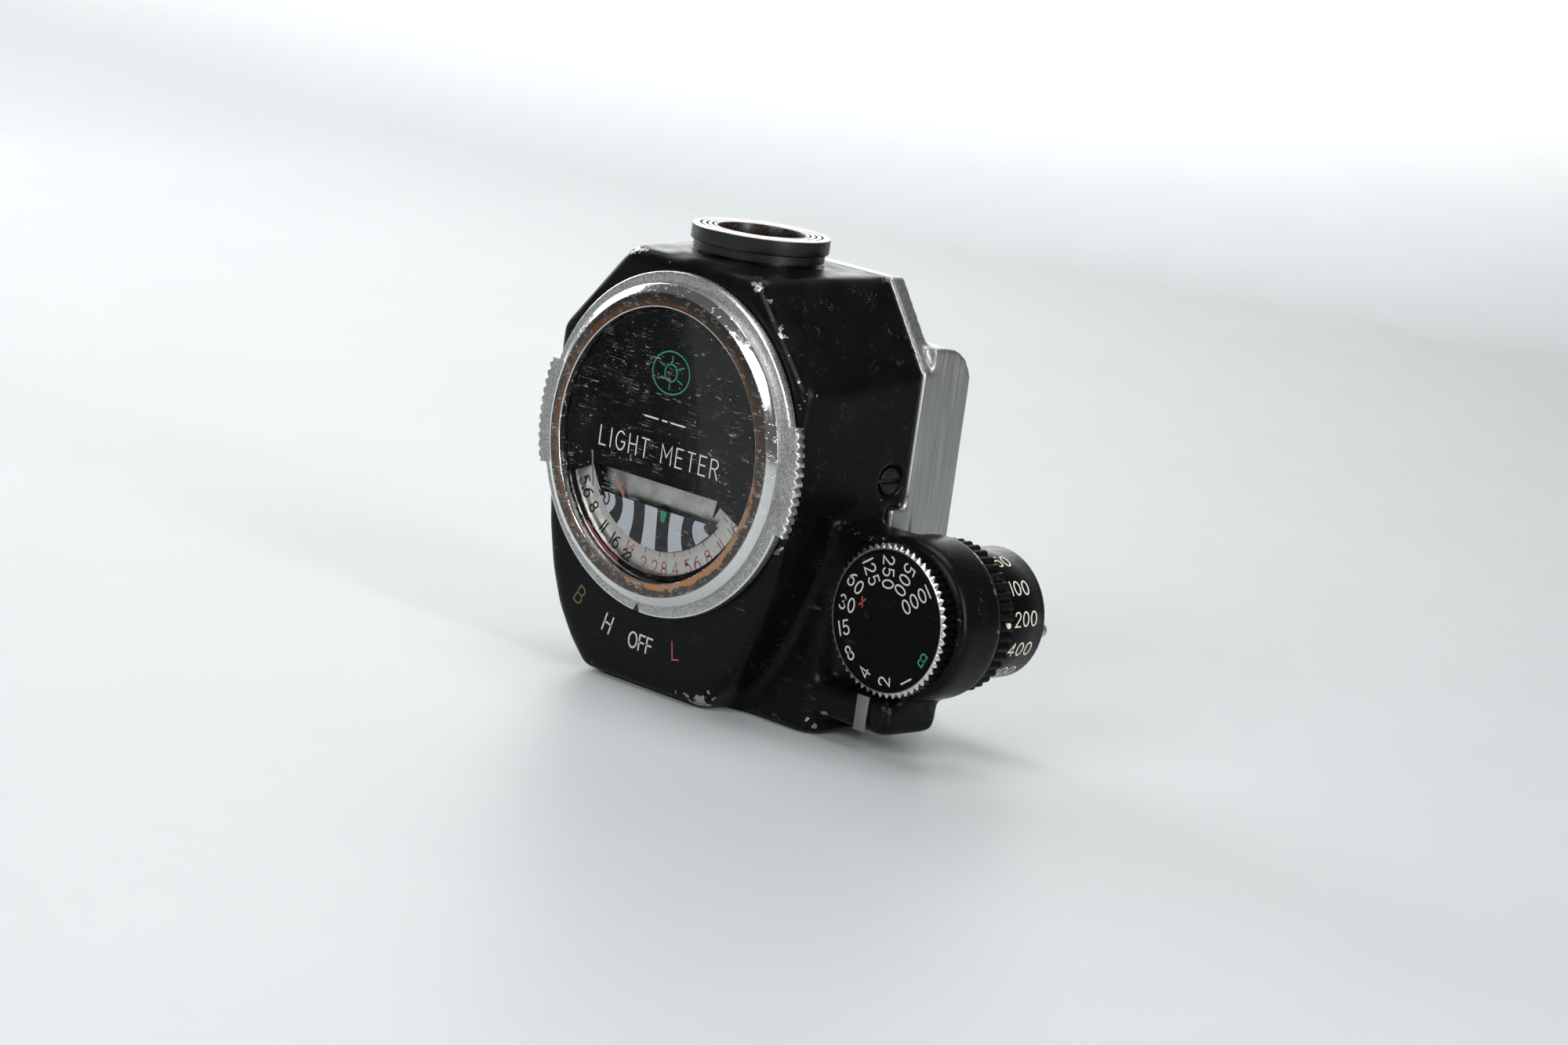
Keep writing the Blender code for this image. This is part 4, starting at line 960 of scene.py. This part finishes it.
def build_speed_dial(looks):
    """The shutter-speed dial: a rim of bright-faced teeth round a black plate of numbers."""
    teeth_count = 56

    def teeth(degrees):
        edge = toothed(9.08, 0.57, teeth_count, degrees)
        bright = [(7.9, -4.2), (8.62, -4.2), (8.72, -4.48), (8.8, -4.5), (8.98, -4.5)]
        return bright + [(9.04, -4.46), (edge, -4.22), (edge, -4.1), (edge - 0.1, -3.9),
                         (edge - 0.1, -2.42), (edge - 0.2, -2.3), (2.0, -2.3), (2.0, -4.2)]

    finish("speed_dial_shown", ring_mesh(teeth, teeth_count * 12), looks["teeth"], KNOB_AXIS,
           "speed_dial_group", ("speed_dial",), "black_enamel", sharp=30)
    plate = [(0.02, -4.2), (0.02, SPEED_PLATE_FRONT), (7.9, SPEED_PLATE_FRONT),
             (8.3, -4.45), (8.42, -4.5),
             (8.55, -4.5), (8.62, -4.45), (8.62, -4.2)]
    finish("speed_plate_shown", ring_mesh(plate, 128), looks["speed_plate"], KNOB_AXIS,
           "speed_dial_group", ("speed_dial_plate",), "black_enamel")
    face = on_face(SPEED_PLATE_FRONT, KNOB_CENTRE)
    numbers = (("1000", 41), ("500", 70.5), ("250", 97.5), ("125", 123.6), ("60", 150.2),
               ("30", 175.4), ("15", -159.4), ("8", -134.1), ("4", -108.3), ("2", -82),
               ("1", -55.1))
    strokes = []
    for text, degrees in numbers:
        word = lettering(text, 1.75, 0.3)
        reach = max(x for stroke in word for x, y in stroke)
        strokes += at_angle(word, 8.0 - reach, degrees, 180)
    marks("speed_numbers", strokes, 0.22, face, looks["print_grey"], -0.05, 0.01,
          body="speed_dial_group")
    marks("speed_b", at_angle(lettering("B", 1.6), 7.4, -26.4, 180), 0.2, face,
          looks["print_green"], -0.05, 0.01, body="speed_dial_group")
    marks("speed_x", at_angle(lettering("X", 1.1), 4.56, 162.7, 180), 0.2, face,
          looks["print_red"], -0.05, 0.01, body="speed_dial_group")


def build_drum(looks):
    """The film-speed ring, and the coupling drum with its numbers behind it."""
    grips = 44

    def knurl(degrees):
        edge = toothed(FILM_RING_RADIUS, 0.45, grips, degrees, 1.5)
        return [(5.5, 6.1), (edge - 0.15, 6.1), (edge, 6.25), (edge, 8.5),
                (edge - 0.2, 8.7), (5.5, 8.7)]

    finish("film_ring_shown", ring_mesh(knurl, grips * 10), looks["knurl"], KNOB_AXIS,
           "film_speed_setting", ("film_speed_ring",), "black_enamel", sharp=30)
    dressed("drive_gear", looks["brass"], "film_speed_setting", 0.05, "brass")
    dressed("coupling_drum", looks["drum"], "speed_dial_group", 0.22, "black_enamel", 45)
    dressed("coupling_pin", looks["steel"], "speed_dial_group", 0.15, "steel")
    dressed("dial_shaft", looks["steel"], "speed_dial_group", 0.15, "steel")

    def wrapped(start, degrees, radius):
        """Places (u, v) along Y and round the knob's axis."""
        def place(u, v, height):
            turn = math.radians(degrees) + v / radius
            reach = radius + height
            return (KNOB.x + reach * math.cos(turn), start + u, KNOB.z + reach * math.sin(turn))
        return place

    marks("film_speed_dot", [[(-0.05, 0), (0.05, 0)]], 0.72,
          wrapped(7.5, 6, FILM_RING_RADIUS + 0.25),
          looks["print_cream"], -0.4, 0.22, body="film_speed_setting")
    for text, degrees in (("25", 92), ("50", 65), ("100", 36), ("200", 8.7), ("400", -19),
                          ("800", -47)):
        word = lettering(text, 1.8, 0.28)
        reach = max(x for stroke in word for x, y in stroke)
        marks("film_speed_" + text, divided(word, 0.3), 0.19,
              wrapped(10.35 + reach, degrees, DRUM_RADIUS), looks["print_cream"], -0.05, 0.03,
              body="speed_dial_group")


def build_inside(looks):
    """The parts behind the dial and the covers, seen only when the meter is opened."""
    for nodes, look, slot in (
            (("movement_frame", "chassis_plate", "iron_core"), "steel", "steel"),
            (("meter_magnet",), "dark_screw", "magnet_steel"),
            (("range_board", "switch_base"), "board", "brown_board"),
            (("resistor_low", "resistor_high"), "resistor", "resistor_tan"),
            (("jewel_bridge", "rear_jewel_screw", "hairspring", "shaft_bush",
              "battery_contact", "trimmer"), "brass", "brass"),
            (("battery", "idler_pin"), "satin", "satin_aluminium"),
            (("front_jewel",), "print_red", "brass")):
        for node in nodes:
            dressed(node, looks[look], width=0.06, slot=slot)
    dressed("idler_gear", looks["brass"], "idler", 0.05, "brass")


# Places where the housing has been knocked: x, y, z and reach.
KNOCKS = ((-12.4, -11, 55.5, 4), (11, -11, 55.5, 3), (16, -11, 50, 2), (21.5, -11, 43, 2.5),
          (11, -11, 0.4, 4), (7, -11, 0.2, 3), (25, -4, 2.5, 3), (21.8, 9, 28, 2),
          (-11.5, 9, 0.5, 5), (14.2, 9.4, 56.2, 2.5), (36, -4.6, 3, 2))


PRINTS = {
    "print_white": (0.74, 0.75, 0.76),
    "print_grey": (0.56, 0.56, 0.55),
    "print_cream": (0.80, 0.77, 0.64),
    "print_olive": (0.13, 0.13, 0.045),
    "print_green": (0.015, 0.24, 0.13),
    "print_red": (0.40, 0.06, 0.035),
    "faded_red": (0.30, 0.10, 0.11),
    "deep_red": (0.15, 0.012, 0.02),
    "print_black": (0.012, 0.012, 0.012),
}


def make_looks():
    """Every material, by the name that the pieces ask for."""
    looks = {
        "enamel": enamel("black_enamel", 0.27, knocks=KNOCKS),
        "casting": brushed("brushed_casting", (0.46, 0.46, 0.45)),
        "satin": brushed("satin", (0.66, 0.66, 0.64), (1, 1, 1), 0.3),
        "steel": plain_metal("steel", (0.55, 0.54, 0.52)),
        "dark_screw": plain_metal("blackened_steel", (0.045, 0.04, 0.036), 0.4,
                                  (0.02, 0.018, 0.016)),
        "strip": plain_metal("strip_steel", (0.28, 0.27, 0.26), 0.4, (0.12, 0.07, 0.035)),
        "brass": plain_metal("brass", (0.66, 0.46, 0.20), 0.32),
        "copper": plain_metal("copper", (0.72, 0.32, 0.16), 0.3),
        "board": printed("brown_board", (0.16, 0.07, 0.03), 0.5),
        "resistor": printed("resistor", (0.5, 0.36, 0.2), 0.4),
        "plastic": enamel("black_plastic", 0.5, wear=False),
        "glass": window_glass("glass"),
        "bezel": worn_chrome("bezel_chrome"),
        "ring": blasted_chrome("blasted_chrome"),
        "anodised": anodised("cell_ring"),
        "mask": enamel("mask_black", 0.5, wear=False, dust=0.5, gloss=0.05),
        "stripe_black": printed("stripe_black", (0.008, 0.008, 0.009), 0.45),
        "stripe_pale": printed("stripe_pale", (0.42, 0.46, 0.50), 0.5),
        "scale": plain_metal("scale_silver", (0.62, 0.61, 0.58), 0.42, (0.4, 0.34, 0.26)),
        "backplate": plain_metal("backplate", (0.50, 0.49, 0.48), 0.3, (0.28, 0.27, 0.26)),
        "needle": printed("needle_red", (0.62, 0.20, 0.18), 0.35),
        "teeth": toothed_rim("dial_rim"),
        "knurl": enamel("knurl_black", 0.42, dust=0.6),
        "speed_plate": enamel("speed_plate", 0.24, wear=False, dust=0.35, gloss=0.04),
        "drum": enamel("drum_black", 0.16, wear=False, dust=0.3, gloss=0.1),
    }
    for name, colour in PRINTS.items():
        looks[name] = printed(name, colour)
    return looks


def build_stage():
    """A pale floor that curves up into a backdrop."""
    turn = math.radians(CAMERA_AZIMUTH)
    across = (math.cos(turn), math.sin(turn))
    away = (-across[1], across[0])
    near, far, floor_z, bend, half_width, top = -900, 500, -0.2, 400, 1600, 1500
    steps = [(near, floor_z), (far, floor_z)]
    steps += [(far + bend * math.sin(math.radians(a)),
               floor_z + bend - bend * math.cos(math.radians(a))) for a in range(6, 91, 6)]
    steps += [(far + bend, top)]
    bm = bmesh.new()
    rows = [[bm.verts.new((away[0] * depth + across[0] * side,
                           away[1] * depth + across[1] * side, height))
             for side in (-half_width, half_width)] for depth, height in steps]
    for here, there in zip(rows, rows[1:]):
        bm.faces.new((here[0], here[1], there[1], there[0]))
    paint = Paint("floor", (0.80, 0.82, 0.84), 0.5)
    height = paint.millimetres(paint.axes()[2])
    ground = paint.blend(paint.noise(0.02, detail=3), (0.46, 0.49, 0.50), (0.50, 0.53, 0.54))
    paint.set("Base Color", paint.blend(paint.band(height, 0, 90), ground, (0.90, 0.91, 0.91)))
    paint.bump(paint.noise(0.8, detail=3), 0.03, 0.2)
    bmesh.ops.scale(bm, vec=(MM, MM, MM), verts=bm.verts)
    mesh = bpy.data.meshes.new("floor")
    bm.to_mesh(mesh)
    bm.free()
    mesh.materials.append(paint.material)
    mesh.shade_smooth()
    floor = bpy.data.objects.new("floor", mesh)
    bpy.context.scene.collection.objects.link(floor)


looks = make_looks()
build_housing(looks)
build_cell_ring(looks)
build_bezel(looks)
build_stripes(looks)
build_face(looks)
build_scale(looks)
build_selector_ring(looks)
build_speed_dial(looks)
build_drum(looks)
build_inside(looks)
build_stage()
set_camera()
set_lights()
